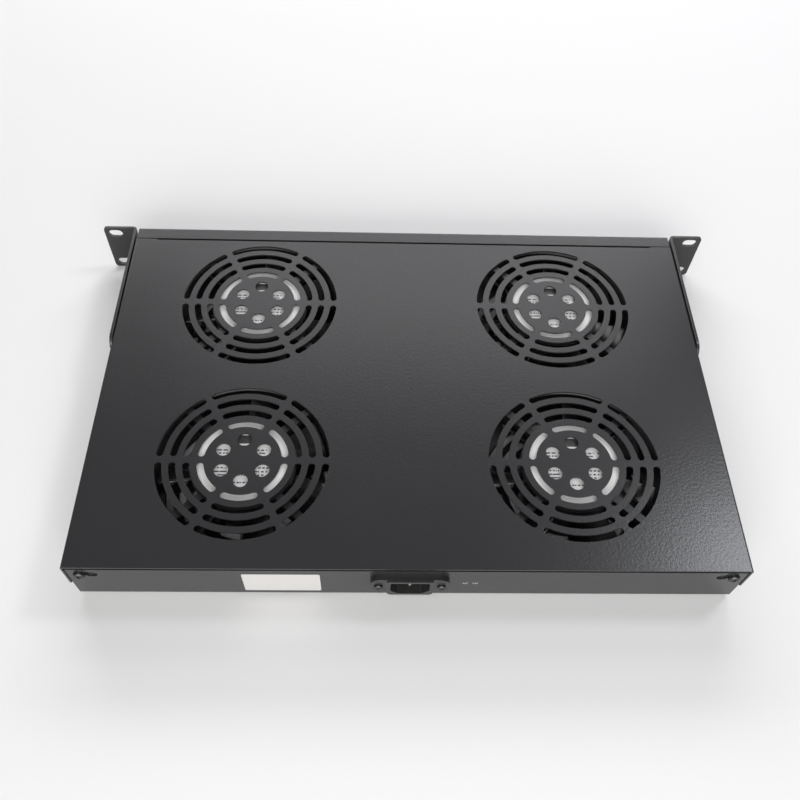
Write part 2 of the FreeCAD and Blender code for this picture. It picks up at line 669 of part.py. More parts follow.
def fan_bearings():
    tube_low = HUB_LOW + HUB_FLOOR + SHAFT_BOSS_HEIGHT + HUB_TOP_CLEARANCE
    rings = []
    for low in (tube_low, HUB_PLATE_BOTTOM - BEARING_LENGTH):
        rings.append(ring((0, 0, low), Z_AXIS, BEARING_LENGTH, BEARING_RADIUS,
                          SHAFT_RADIUS + SHAFT_RUNNING_GAP))
    return Part.makeCompound(rings)


def fan_stator():
    """Laminated core with its coils above and below, on the bearing tube."""
    inner = BEARING_RADIUS + BEARING_TUBE_WALL
    outer = HUB_RADIUS - HUB_WALL - STATOR_GAP
    coil_outer = outer - STATOR_COIL_INSET
    core_low = HUB_PLATE_BOTTOM - STATOR_COIL_HEIGHT - STATOR_CORE_HEIGHT
    core = cylinder((0, 0, core_low), Z_AXIS, STATOR_CORE_HEIGHT, outer)
    coils = cylinder((0, 0, core_low - STATOR_COIL_HEIGHT), Z_AXIS,
                     STATOR_CORE_HEIGHT + 2 * STATOR_COIL_HEIGHT, coil_outer)
    whole = fuse([core, coils])
    height = STATOR_CORE_HEIGHT + 2 * STATOR_COIL_HEIGHT
    return whole.cut(cylinder((0, 0, core_low - STATOR_COIL_HEIGHT), Z_AXIS, height, inner))


def blade_section(distance, chord, low, high):
    """One closed outline of a blade, in the plane at the given distance from the axis."""
    half_chord = chord / 2
    rise = (high - low) / 2
    middle_z = (high + low) / 2
    length = math.hypot(half_chord, rise)
    normal_y = -rise / length * BLADE_SHEET / 2
    normal_z = half_chord / length * BLADE_SHEET / 2
    camber = length * BLADE_CAMBER
    centre_y = -camber * rise / length
    centre_z = camber * half_chord / length

    def at(y, z):
        return point(distance, y, middle_z + z)

    upper = Part.Arc(at(-half_chord + normal_y, -rise + normal_z), at(centre_y + normal_y, centre_z + normal_z),
                     at(half_chord + normal_y, rise + normal_z)).toShape()
    far_end = Part.LineSegment(at(half_chord + normal_y, rise + normal_z),
                               at(half_chord - normal_y, rise - normal_z)).toShape()
    lower = Part.Arc(at(half_chord - normal_y, rise - normal_z), at(centre_y - normal_y, centre_z - normal_z),
                     at(-half_chord - normal_y, -rise - normal_z)).toShape()
    near_end = Part.LineSegment(at(-half_chord - normal_y, -rise - normal_z),
                                at(-half_chord + normal_y, -rise + normal_z)).toShape()
    return Part.Wire([upper, far_end, lower, near_end])


def impeller():
    """The hub cup, open at the top, with its swept blades."""
    cup = cylinder((0, 0, HUB_LOW), Z_AXIS, HUB_HIGH - HUB_LOW, HUB_RADIUS)
    hollow = cylinder((0, 0, HUB_LOW + HUB_FLOOR), Z_AXIS, HUB_HIGH - HUB_LOW, HUB_RADIUS - HUB_WALL)
    boss = cylinder((0, 0, HUB_LOW), Z_AXIS, HUB_FLOOR + SHAFT_BOSS_HEIGHT, SHAFT_BOSS_RADIUS)
    low = FAN_BOTTOM + BLADE_BOTTOM
    high = STRUT_BOTTOM - BLADE_STRUT_CLEARANCE
    root = HUB_RADIUS - HUB_WALL
    sections = [blade_section(root, BLADE_HUB_CHORD, low + 1, high - 1),
                blade_section(FAN_SIZE / 2, BLADE_TIP_CHORD, low + BLADE_SHEET / 2, high - BLADE_SHEET / 2)]
    blade = Part.makeLoft(sections, True, True)
    envelope = ring((0, 0, low), Z_AXIS, high - low, BLADE_TIP_RADIUS, HUB_RADIUS - HUB_WALL / 2)
    blade = blade.common(envelope)
    blades = []
    for index in range(BLADE_COUNT):
        copy = blade.copy()
        copy.rotate(ORIGIN, Z_AXIS, 360 / BLADE_COUNT * index)
        blades.append(copy)
    wheel = fuse([cup.cut(hollow), boss] + blades)
    return wheel.cut(cylinder((0, 0, HUB_LOW + SHAFT_HEAD_GAP), Z_AXIS, FAN_DEPTH, SHAFT_RADIUS))


def fan_shaft():
    length = HUB_PLATE_BOTTOM - HUB_LOW - 2 * SHAFT_HEAD_GAP
    return cylinder((0, 0, HUB_LOW + SHAFT_HEAD_GAP), Z_AXIS, length, SHAFT_RADIUS)


# ---- mains inlet ----

def chamfered_slab(width, height, chamfer, start_y, depth, z):
    """A slab facing +Y with its two lower corners cut off."""
    half_width = width / 2
    half_height = height / 2
    corners = [(-half_width, start_y, z + half_height), (half_width, start_y, z + half_height),
               (half_width, start_y, z - half_height + chamfer), (half_width - chamfer, start_y, z - half_height),
               (-half_width + chamfer, start_y, z - half_height), (-half_width, start_y, z - half_height + chamfer)]
    return prism(corners, (0, depth, 0))


def pin_places():
    """Middle of each pin: live, neutral and, last and lower down between them, earth."""
    return [(-PIN_SPACING / 2, INLET_Z + PIN_STEP / 2), (PIN_SPACING / 2, INLET_Z + PIN_STEP / 2),
            (0, INLET_Z - PIN_STEP / 2)]


def inlet_housing():
    flange = rounded_slab(INLET_FLANGE_WIDTH, INLET_FLANGE_HEIGHT, INLET_FLANGE_CORNER, PANEL_FACE,
                          INLET_FLANGE_DEPTH, INLET_Z)
    rim = chamfered_slab(INLET_RIM_WIDTH, INLET_FLANGE_HEIGHT, INLET_RIM_CHAMFER, PANEL_FACE,
                         INLET_FACE - PANEL_FACE, INLET_Z)
    back = box((-INLET_BACK_WIDTH / 2, INLET_BACK, INLET_Z - INLET_BACK_HEIGHT / 2),
               (INLET_BACK_WIDTH / 2, PANEL_FACE, INLET_Z + INLET_BACK_HEIGHT / 2))
    housing = fuse([flange, rim, back])
    socket = chamfered_slab(INLET_SOCKET_WIDTH, INLET_SOCKET_HEIGHT, INLET_SOCKET_CHAMFER, SOCKET_FLOOR,
                            INLET_SOCKET_DEPTH + 1, INLET_Z)
    socket = round_edges(socket, 1.0, lambda edge, middle: runs_along(edge, Y_AXIS) and middle.z > INLET_Z)
    tools = [socket]
    for side in (-1, 1):
        place = (side * INLET_SCREW_SPACING / 2, PANEL_FACE - 1, INLET_Z)
        tools.append(cylinder(place, Y_AXIS, INLET_FLANGE_DEPTH + 2, M3_HOLE_RADIUS))
    for x, z in pin_places():
        tools.append(box((x - PIN_WIDTH / 2, INLET_BACK - 1, z - PIN_HEIGHT / 2),
                         (x + PIN_WIDTH / 2, SOCKET_FLOOR + 1, z + PIN_HEIGHT / 2)))
    return cut(housing, tools)


def inlet_pins():
    """Three flat pins, each running back through the housing to a flat solder tab."""
    pins = []
    for (x, z), extra in zip(pin_places(), (0, 0, EARTH_PIN_EXTRA)):
        tip = SOCKET_FLOOR + PIN_LENGTH + extra
        blade = box((x - PIN_WIDTH / 2, INLET_BACK, z - PIN_HEIGHT / 2),
                    (x + PIN_WIDTH / 2, tip, z + PIN_HEIGHT / 2))
        blade = round_edges(blade, PIN_WIDTH / 3, lambda edge, middle: middle.y > tip - 0.01)
        tab = box((x - TAB_SHEET / 2, INLET_BACK - TAB_LENGTH, z - TAB_WIDTH / 2),
                  (x + TAB_SHEET / 2, INLET_BACK, z + TAB_WIDTH / 2))
        pins.append(fuse([blade, tab]))
    return Part.makeCompound(pins)


# ---- power switch ----

def switch_housing():
    """Bezel and body of the snap-in switch, seen from the front, with a well for the rocker."""
    bezel = rounded_slab(SWITCH_BEZEL_WIDTH, SWITCH_BEZEL_HEIGHT, SWITCH_BEZEL_CORNER,
                         FRONT - SWITCH_BEZEL_DEPTH, SWITCH_BEZEL_DEPTH, 0)
    body = box((-SWITCH_BODY_WIDTH / 2, FRONT, -SWITCH_BODY_HEIGHT / 2),
               (SWITCH_BODY_WIDTH / 2, FRONT + SWITCH_BODY_DEPTH, SWITCH_BODY_HEIGHT / 2))
    half_width = SWITCH_BODY_WIDTH / 2 - SWITCH_WELL_WALL
    half_height = SWITCH_BODY_HEIGHT / 2 - SWITCH_WELL_WALL
    well = box((-half_width, FRONT - SWITCH_BEZEL_DEPTH - 1, -half_height),
               (half_width, FRONT + SWITCH_WELL_DEPTH, half_height))
    sockets = rocker_pin(ROCKER_PIN_RADIUS + ROCKER_PIN_GAP, SWITCH_BODY_HEIGHT - 2 * SWITCH_WELL_WALL
                         + 2 * ROCKER_PIN_SINK + 2 * ROCKER_PIN_GAP)
    housing = fuse([bezel, body]).cut(well).cut(sockets)
    return moved(housing, SWITCH_X, 0, 0)


def rocker_pin(radius, length):
    """The rocker's pivot lies along Z, across the switch."""
    return cylinder((0, FRONT + ROCKER_PIVOT_DEPTH, -length / 2), Z_AXIS, length, radius)


def switch_rocker():
    """A shallow V of a rocker on its pivot pins, resting in the off position."""
    half_height = SWITCH_BODY_HEIGHT / 2 - SWITCH_WELL_WALL - ROCKER_GAP
    half_width = SWITCH_BODY_WIDTH / 2 - SWITCH_WELL_WALL - ROCKER_GAP
    pivot_y = FRONT + ROCKER_PIVOT_DEPTH
    slope = math.tan(math.radians(ROCKER_TILT))
    face_y = FRONT - SWITCH_BEZEL_DEPTH - ROCKER_PROUD
    wing = half_width * ROCKER_WING_SHARE
    tip_y = face_y - wing * slope * ROCKER_DISH_SHARE
    valley_y = face_y + wing * slope * (1 - ROCKER_DISH_SHARE)
    edge_y = face_y + ROCKER_EDGE
    keel = ROCKER_RADIUS * ROCKER_KEEL_SHARE
    low = -half_height
    corners = [(-wing, tip_y, low), (0, valley_y, low), (wing, tip_y, low), (wing, edge_y, low),
               (keel, pivot_y + keel, low), (-keel, pivot_y + keel, low), (-wing, edge_y, low)]
    body = prism(corners, (0, 0, 2 * half_height))
    pin_length = SWITCH_BODY_HEIGHT - 2 * SWITCH_WELL_WALL + 2 * ROCKER_PIN_SINK
    rocker = fuse([body, rocker_pin(ROCKER_PIN_RADIUS, pin_length)])
    rocker.rotate(point(0, pivot_y, 0), Z_AXIS, -ROCKER_TILT)
    return moved(rocker, SWITCH_X, 0, 0)


def switch_tab_places():
    return [(SWITCH_X - SWITCH_TAB_SPACING / 2, 0), (SWITCH_X + SWITCH_TAB_SPACING / 2, 0)]


def switch_tabs():
    back = FRONT + SWITCH_BODY_DEPTH
    tabs = []
    for x, z in switch_tab_places():
        tabs.append(box((x - TAB_SHEET / 2, back, z - TAB_WIDTH / 2),
                        (x + TAB_SHEET / 2, back + TAB_LENGTH, z + TAB_WIDTH / 2)))
    return Part.makeCompound(tabs)


# ---- fasteners in their places ----

def bracket_fasteners():
    """Screws through bracket, cover skirt and tray side, with nuts inside the tray."""
    reach = BRACKET_OUTER - TRAY_INNER + M4_NUT + THREAD_PROUD
    one = screw(M4_RADIUS, M4_HEAD_RADIUS, M4_HEAD, reach)
    hexagon = nut(M4_RADIUS, M4_NUT_FLATS, M4_NUT)
    screws = []
    nuts = []
    for side in (-1, 1):
        for y in BRACKET_SCREW_Y:
            screws.append(placed(one, (side * BRACKET_OUTER, y, BRACKET_SCREW_Z), (side, 0, 0)))
            nuts.append(placed(hexagon, (side * TRAY_INNER, y, BRACKET_SCREW_Z), (-side, 0, 0)))
    return Part.makeCompound(screws), Part.makeCompound(nuts)


def back_fasteners():
    """The two screws that hold the cover's back tabs against the back panel."""
    nut_face = TAB_BACK - SHEET
    one = screw(M4_RADIUS, M4_HEAD_RADIUS, M4_HEAD, PANEL_FACE - nut_face + M4_NUT + THREAD_PROUD)
    hexagon = nut(M4_RADIUS, M4_NUT_FLATS, M4_NUT)
    screws = []
    nuts = []
    for side in (-1, 1):
        screws.append(placed(one, (side * BACK_SCREW_X, PANEL_FACE, BACK_SCREW_Z), (0, 1, 0)))
        nuts.append(placed(hexagon, (side * BACK_SCREW_X, nut_face, BACK_SCREW_Z), (0, -1, 0)))
    return Part.makeCompound(screws), Part.makeCompound(nuts)


def fan_fasteners():
    """Low-headed screws from below the tray, with nuts on the lower flange of each fan."""
    nut_seat = FAN_BOTTOM + FAN_FLANGE
    one = screw(M4_RADIUS, M4_HEAD_RADIUS, M4_LOW_HEAD, nut_seat - BOTTOM + M4_NUT + THREAD_PROUD)
    hexagon = nut(M4_RADIUS, M4_NUT_FLATS, M4_NUT)
    screws = []
    nuts = []
    for x, y in fan_hole_places():
        screws.append(placed(one, (x, y, BOTTOM), (0, 0, -1)))
        nuts.append(moved(hexagon, x, y, nut_seat))
    return Part.makeCompound(screws), Part.makeCompound(nuts)


def inlet_fasteners():
    one = screw(M3_RADIUS, M3_HEAD_RADIUS, M3_HEAD, INLET_FLANGE_FACE - PANEL_INNER + M3_NUT + THREAD_PROUD)
    hexagon = nut(M3_RADIUS, M3_NUT_FLATS, M3_NUT)
    screws = []
    nuts = []
    for side in (-1, 1):
        x = side * INLET_SCREW_SPACING / 2
        screws.append(placed(one, (x, INLET_FLANGE_FACE, INLET_Z), (0, 1, 0)))
        nuts.append(placed(hexagon, (x, PANEL_INNER, INLET_Z), (0, -1, 0)))
    return Part.makeCompound(screws), Part.makeCompound(nuts)


# ---- terminal block and earth stud ----

def terminal_block():
    """A screw terminal strip along the middle of the tray, with entries on both long sides."""
    half = BLOCK_WIDTH / 2
    start = BLOCK_Y - BLOCK_LENGTH / 2
    top = FLOOR + BLOCK_HEIGHT
    shoulder = top - BLOCK_CHAMFER
    outline = [(-half, start, FLOOR), (half, start, FLOOR), (half, start, shoulder),
               (half - BLOCK_CHAMFER, start, top), (-half + BLOCK_CHAMFER, start, top), (-half, start, shoulder)]
    block = prism(outline, (0, BLOCK_LENGTH, 0))
    tools = []
    for y in BLOCK_POLE_Y:
        for side in (-1, 1):
            entry = (side * half, y, BLOCK_ENTRY_Z)
            inward = point(-side, 0, 0)
            tools.append(cylinder(entry, inward, BLOCK_ENTRY_DEPTH, LEAD_RADIUS + BLOCK_ENTRY_GAP))
            bore = (side * BLOCK_SCREW_OFFSET, y, top - BLOCK_SCREW_SINK - BLOCK_SCREW_HEIGHT)
            tools.append(cylinder(bore, Z_AXIS, BLOCK_HEIGHT, BLOCK_SCREW_RADIUS + BLOCK_SCREW_GAP))
    for y in block_fixing_places():
        tools.append(cylinder((0, y, FLOOR - 1), Z_AXIS, BLOCK_HEIGHT + 2, M3_HOLE_RADIUS))
        tools.append(cylinder((0, y, top - BLOCK_FIXING_SINK), Z_AXIS, BLOCK_HEIGHT,
                              M3_HEAD_RADIUS + BLOCK_ENTRY_GAP))
    return cut(block, tools)


def block_fixing_places():
    return [BLOCK_Y + side * (BLOCK_LENGTH / 2 - BLOCK_FIXING_INSET) for side in (-1, 1)]


def terminal_screws():
    low = FLOOR + BLOCK_HEIGHT - BLOCK_SCREW_SINK - BLOCK_SCREW_HEIGHT
    screws = []
    for y in BLOCK_POLE_Y:
        for side in (-1, 1):
            x = side * BLOCK_SCREW_OFFSET
            body = cylinder((x, y, low), Z_AXIS, BLOCK_SCREW_HEIGHT, BLOCK_SCREW_RADIUS)
            slot_low = low + BLOCK_SCREW_HEIGHT - CROSS_WIDTH
            slot = box((x - BLOCK_SCREW_RADIUS, y - CROSS_WIDTH / 2, slot_low),
                       (x + BLOCK_SCREW_RADIUS, y + CROSS_WIDTH / 2, slot_low + 1 + CROSS_WIDTH))
            screws.append(body.cut(slot))
    return Part.makeCompound(screws)


def block_fixing_screws():
    seat = FLOOR + BLOCK_HEIGHT - BLOCK_FIXING_SINK
    one = screw(M3_RADIUS, M3_HEAD_RADIUS, M3_HEAD, seat - BOTTOM)
    return Part.makeCompound([moved(one, 0, y, seat) for y in block_fixing_places()])


def earth_stud():
    return cylinder((STUD_X, STUD_Y, BOTTOM), Z_AXIS, STUD_LENGTH, STUD_RADIUS)


def earth_ring():
    """The ring terminal on the stud, its barrel pointing away from the back panel."""
    eye = ring((STUD_X, STUD_Y, FLOOR), Z_AXIS, RING_SHEET, RING_OUTER, STUD_RADIUS + THREAD_GAP)
    barrel_end = STUD_Y - RING_OUTER
    neck = box((STUD_X - RING_BARREL_RADIUS, barrel_end - 1, FLOOR),
               (STUD_X + RING_BARREL_RADIUS, STUD_Y - STUD_RADIUS - 1, FLOOR + RING_SHEET))
    barrel = cylinder((STUD_X, barrel_end, FLOOR + RING_BARREL_RADIUS), Y_AXIS.negative(),
                      RING_BARREL_LENGTH, RING_BARREL_RADIUS)
    return fuse([eye, neck, barrel])


def earth_nut():
    return moved(nut(STUD_RADIUS, M4_NUT_FLATS, M4_NUT), STUD_X, STUD_Y, FLOOR + RING_SHEET)


# ---- push-on sleeves and leads ----

def push_on_sleeves():
    """Insulated receptacles on the tabs of the inlet and of the switch."""
    sleeves = []
    half_tab = TAB_WIDTH / 2 + SLEEVE_GAP
    for x, z in pin_places():
        sleeve = box((x - SLEEVE_WIDTH / 2, INLET_SLEEVE_END, z - SLEEVE_HEIGHT / 2),
                     (x + SLEEVE_WIDTH / 2, INLET_BACK, z + SLEEVE_HEIGHT / 2))
        slot = box((x - TAB_SHEET / 2 - SLEEVE_GAP, INLET_BACK - TAB_LENGTH - SLEEVE_GAP, z - half_tab),
                   (x + TAB_SHEET / 2 + SLEEVE_GAP, INLET_BACK + 1, z + half_tab))
        sleeves.append(sleeve.cut(slot))
    for x, z in switch_tab_places():
        sleeve = box((x - SLEEVE_WIDTH / 2, SWITCH_BACK, SWITCH_SLEEVE_LOW),
                     (x + SLEEVE_WIDTH / 2, SWITCH_BACK + TAB_LENGTH + 1, SWITCH_SLEEVE_LOW + SLEEVE_LENGTH))
        slot = box((x - TAB_SHEET / 2 - SLEEVE_GAP, SWITCH_BACK - 1, z - half_tab),
                   (x + TAB_SHEET / 2 + SLEEVE_GAP, SWITCH_BACK + TAB_LENGTH + SLEEVE_GAP, z + half_tab))
        sleeves.append(sleeve.cut(slot))
    return Part.makeCompound(sleeves)


def lead(name, places):
    """A round lead through a list of points: straight runs joined by tangent arcs."""
    points = [point(*place) for place in places]
    edges = []
    radii = []
    start = points[0]
    for before, corner, after in zip(points, points[1:], points[2:]):
        back = before.sub(corner)
        onward = after.sub(corner)
        tangent = LEAD_BEND_SHARE * min(back.Length, onward.Length)
        back.normalize()
        onward.normalize()
        half_turn = (math.pi - back.getAngle(onward)) / 2
        radius = tangent / math.tan(half_turn)
        inward = back.add(onward).normalize()
        middle = corner.add(inward.multiply(radius / math.cos(half_turn) - radius))
        arc_start = corner.add(back.multiply(tangent))
        arc_end = corner.add(onward.multiply(tangent))
        edges.append(Part.LineSegment(start, arc_start).toShape())
        edges.append(Part.Arc(arc_start, middle, arc_end).toShape())
        radii.append(round(radius, 1))
        start = arc_end
    edges.append(Part.LineSegment(start, points[-1]).toShape())
    path = Part.Wire(edges)
    section = Part.Wire([Part.makeCircle(LEAD_RADIUS, points[0], points[1].sub(points[0]))])
    solid = path.makePipeShell([section], True, False)
    share = solid.Volume / (math.pi * LEAD_RADIUS ** 2 * path.Length)
    print(name, "length", round(path.Length, 1), "bend radii", radii, "volume share", round(share, 5))
    return solid


def fan_lead_places(side, end):
    """The route of one fan's lead: side is -1 or 1 along X, end is -1 for a front fan and 1 for a back one."""
    fan_x = side * FAN_PITCH_X / 2
    fan_y = BLOCK_Y + end * FAN_PITCH_Y / 2
    diagonal = math.sqrt(0.5)

    def out_of_corner(radius):
        return fan_x - side * radius * diagonal, fan_y - end * radius * diagonal, FAN_LEAD_Z

    pole_y = BLOCK_POLE_Y[0] if end < 0 else BLOCK_POLE_Y[-1]
    fan_side = fan_x - side * FAN_SIZE / 2
    return [
        out_of_corner(FAN_WAIST_RADIUS + CLIP_GAP),
        out_of_corner(FAN_WAIST_RADIUS + 11.0),
        (fan_side - side * 7.0, pole_y + end * 0.8, FAN_LEAD_Z),
        (side * 28.0, pole_y, BLOCK_ENTRY_Z),
        (side * BLOCK_ENTRY_X, pole_y, BLOCK_ENTRY_Z),
    ]


def switch_lead_start(x):
    return [(x, SWITCH_TAB_Y, SWITCH_SLEEVE_LOW), (x, SWITCH_TAB_Y, SWITCH_SLEEVE_LOW - 7.0)]


def block_approach(side, pole_y):
    """The last points of a lead that comes along the floor, at the given side, to a pole of the block."""
    away = 1 if pole_y > BLOCK_Y else -1
    return [
        (side * CHANNEL_RUN_X, pole_y + away * 13.0, LEAD_Z),
        (side * (CHANNEL_RUN_X - 2.0), pole_y + away * 4.5, (LEAD_Z + BLOCK_ENTRY_Z) / 2),
        (side * (BLOCK_WIDTH / 2 + 9.0), pole_y, BLOCK_ENTRY_Z),
        (side * BLOCK_ENTRY_X, pole_y, BLOCK_ENTRY_Z),
    ]


def lead_routes():
    near_x, far_x = [x for x, z in switch_tab_places()]
    far_run = FRONT_RUN_Y
    near_run = FRONT_RUN_Y + LEAD_PAIR_SPACING
    live_run_x = CHANNEL_RUN_X + LEAD_PAIR_SPACING
    pins = pin_places()
    routes = {
        "switched_live_lead": switch_lead_start(far_x) + [
            (far_x - 7.0, far_run + 4.5, LEAD_Z),
            (far_x - 21.0, far_run, LEAD_Z),
            (CHANNEL_RUN_X + 12.0, far_run, LEAD_Z),
            (CHANNEL_RUN_X, far_run + 12.0, LEAD_Z),
        ] + block_approach(1, BLOCK_POLE_Y[1]),
        "live_lead": switch_lead_start(near_x) + [
            (near_x - 7.0, near_run + 4.5, LEAD_Z),
            (near_x - 20.0, near_run, LEAD_Z),
            (live_run_x + 12.0, near_run, LEAD_Z),
            (live_run_x, near_run + 12.0, LEAD_Z),
            (live_run_x, INLET_SLEEVE_END - LIVE_RISE_Y, LEAD_Z),
            (pins[1][0] + LIVE_SWING_X, INLET_SLEEVE_END - LIVE_SWING_Y, LEAD_SWING_Z),
            (pins[1][0], INLET_SLEEVE_END - LIVE_LEVEL_Y, pins[1][1]),
            (pins[1][0], INLET_SLEEVE_END, pins[1][1]),
        ],
        "neutral_lead": [
            (pins[0][0], INLET_SLEEVE_END, pins[0][1]),
            (pins[0][0], INLET_SLEEVE_END - NEUTRAL_LEVEL_Y, pins[0][1]),
            (-CHANNEL_RUN_X + NEUTRAL_SWING_X, INLET_SLEEVE_END - NEUTRAL_SWING_Y, LEAD_SWING_Z),
            (-CHANNEL_RUN_X, INLET_SLEEVE_END - NEUTRAL_RISE_Y, LEAD_Z),
        ] + block_approach(-1, BLOCK_POLE_Y[2]),
        "earth_lead": [
            (pins[2][0], INLET_SLEEVE_END, pins[2][1]),
            (pins[2][0], INLET_SLEEVE_END - EARTH_LEVEL_Y, pins[2][1]),
            (STUD_X / 2 + EARTH_SWING_X, INLET_SLEEVE_END - EARTH_SWING_Y, EARTH_SWING_Z),
            (STUD_X, STUD_Y - RING_OUTER - RING_BARREL_LENGTH - EARTH_RUN_IN, FLOOR + RING_BARREL_RADIUS),
            (STUD_X, STUD_Y - RING_OUTER - RING_BARREL_LENGTH, FLOOR + RING_BARREL_RADIUS),
        ],
    }
    fan_sides = (("front_left", -1, -1), ("front_right", 1, -1), ("back_left", -1, 1), ("back_right", 1, 1))
    for name, side, end in fan_sides:
        routes["fan_lead_" + name] = fan_lead_places(side, end)
    return routes


def clip(middle_x, middle_y, span, along):
    """A saddle clip on the floor over one or two leads, its tunnel along X or Y."""
    tunnel_half = span / 2 + LEAD_RADIUS + CLIP_GAP
    outer_half = tunnel_half + CLIP_SHEET
    tunnel_top = LEAD_Z + LEAD_RADIUS + CLIP_GAP
    half = CLIP_LENGTH / 2
    foot = box((-outer_half - CLIP_FOOT, -half, FLOOR), (outer_half + CLIP_FOOT, half, FLOOR + CLIP_SHEET))
    arch = box((-outer_half, -half, FLOOR), (outer_half, half, tunnel_top + CLIP_SHEET))
    arch = round_edges(arch, CLIP_SHEET, lambda edge, middle: runs_along(edge, Y_AXIS) and middle.z > LEAD_Z)
    tunnel = box((-tunnel_half, -half - 1, FLOOR + CLIP_SHEET), (tunnel_half, half + 1, tunnel_top))
    saddle = fuse([foot, arch]).cut(tunnel)
    if along == "x":
        saddle.rotate(ORIGIN, Z_AXIS, 90)
    return moved(saddle, middle_x, middle_y, 0)


def cable_clips():
    pair = LEAD_PAIR_SPACING
    last_x = SWITCH_X - CLIP_FROM_SWITCH
    first_x = CHANNEL_RUN_X + CLIP_FROM_CHANNEL
    clips = [clip(x, FRONT_RUN_Y + pair / 2, pair, "x") for x in (last_x, (first_x + last_x) / 2, first_x)]
    clips += [clip(CHANNEL_RUN_X + pair / 2, y, pair, "y")
              for y in (CLIP_FROM_FRONT, BLOCK_Y - CLIP_FROM_BLOCK)]
    clips.append(clip(CHANNEL_RUN_X + pair, BLOCK_Y + CLIP_FROM_BLOCK, 0, "y"))
    clips.append(clip(-CHANNEL_RUN_X, BLOCK_Y + CLIP_FROM_BLOCK, 0, "y"))
    return Part.makeCompound(clips)


def rating_label():
    return box((RATING_X - RATING_WIDTH / 2, PANEL_FACE, RATING_Z - RATING_HEIGHT / 2),
               (RATING_X + RATING_WIDTH / 2, PANEL_FACE + RATING_SHEET, RATING_Z + RATING_HEIGHT / 2))


def main():
    os.makedirs("parts", exist_ok=True)
    save("base_tray", base_tray())
    save("top_cover", top_cover())
    tab = back_tab()
    save("cover_back_tabs", Part.makeCompound([tab, mirrored(tab)]))
    bracket = ear_bracket()
    save("ear_bracket_right", bracket)
    save("ear_bracket_left", mirrored(bracket))
    for name, (x, y) in FANS.items():
        save("fan_frame_" + name, moved(fan_frame(), x, y, 0))
        save("fan_impeller_" + name, moved(impeller(), x, y, 0))
        save("fan_shaft_" + name, moved(fan_shaft(), x, y, 0))
        save("fan_stator_" + name, moved(fan_stator(), x, y, 0))
        save("fan_label_" + name, moved(fan_label(), x, y, 0))
        save("fan_bearings_" + name, moved(fan_bearings(), x, y, 0))
    save("inlet_housing", inlet_housing())
    save("inlet_pins", inlet_pins())
    save("switch_housing", switch_housing())
    save("switch_rocker", switch_rocker())
    save("switch_tabs", switch_tabs())
    for name, (screws, nuts) in (("bracket", bracket_fasteners()), ("back", back_fasteners()),
                                 ("fan", fan_fasteners()), ("inlet", inlet_fasteners())):
        save(name + "_screws", screws)
        save(name + "_nuts", nuts)
    save("terminal_block", terminal_block())
    save("terminal_screws", terminal_screws())
    save("block_fixing_screws", block_fixing_screws())
    save("earth_stud", earth_stud())
    save("earth_ring", earth_ring())
    save("earth_nut", earth_nut())
    save("push_on_sleeves", push_on_sleeves())
    for name, places in lead_routes().items():
        save(name, lead(name, places))
    save("cable_clips", cable_clips())
    save("rating_label", rating_label())


main()
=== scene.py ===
"""Dresses a rack fan tray: a shallow steel case with axial fans under punched grilles,
ear brackets, a mains inlet at the back and a rocker switch at the front."""

import json
import math

import bmesh
import bpy
from bpy.props import (
    FloatProperty, FloatVectorProperty, IntProperty, PointerProperty, StringProperty)
from bpy.types import Operator, Panel, PropertyGroup
from mathutils import Matrix, Vector

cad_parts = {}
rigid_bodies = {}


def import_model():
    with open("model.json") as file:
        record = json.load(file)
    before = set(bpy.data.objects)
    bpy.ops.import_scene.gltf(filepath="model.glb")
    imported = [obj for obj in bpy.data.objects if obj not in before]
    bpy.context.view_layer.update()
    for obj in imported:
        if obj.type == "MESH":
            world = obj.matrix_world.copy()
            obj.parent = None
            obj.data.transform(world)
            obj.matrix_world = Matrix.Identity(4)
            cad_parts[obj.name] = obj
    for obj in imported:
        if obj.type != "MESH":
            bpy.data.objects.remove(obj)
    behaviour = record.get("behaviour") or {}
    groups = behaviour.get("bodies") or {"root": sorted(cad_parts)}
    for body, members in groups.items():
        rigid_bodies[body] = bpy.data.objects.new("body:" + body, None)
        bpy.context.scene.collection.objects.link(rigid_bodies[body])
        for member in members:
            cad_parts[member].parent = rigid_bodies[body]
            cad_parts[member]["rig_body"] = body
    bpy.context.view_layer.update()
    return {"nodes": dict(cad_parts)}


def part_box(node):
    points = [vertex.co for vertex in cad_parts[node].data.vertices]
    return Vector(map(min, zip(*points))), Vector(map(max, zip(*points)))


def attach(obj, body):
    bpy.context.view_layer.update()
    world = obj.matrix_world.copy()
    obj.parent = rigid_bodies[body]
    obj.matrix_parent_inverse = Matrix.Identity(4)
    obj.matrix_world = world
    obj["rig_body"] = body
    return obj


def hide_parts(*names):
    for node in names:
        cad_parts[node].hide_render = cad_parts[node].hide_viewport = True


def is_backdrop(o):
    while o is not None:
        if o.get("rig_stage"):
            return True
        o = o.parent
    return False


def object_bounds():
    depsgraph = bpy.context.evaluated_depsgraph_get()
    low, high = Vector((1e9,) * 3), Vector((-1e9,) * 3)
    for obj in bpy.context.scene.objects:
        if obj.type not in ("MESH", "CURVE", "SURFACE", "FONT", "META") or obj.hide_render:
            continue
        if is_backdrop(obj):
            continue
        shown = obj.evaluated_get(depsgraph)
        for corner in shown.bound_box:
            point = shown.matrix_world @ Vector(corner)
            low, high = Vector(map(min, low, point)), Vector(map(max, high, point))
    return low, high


bl_info = {
    "name": "Rack fan tray",
    "version": (1, 0, 0),
    "blender": (4, 5, 0),
    "location": "3D View > Sidebar > Fan tray",
    "description": "Dresses the packed rack fan tray and sets up its stage",
    "category": "Object",
}

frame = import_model()

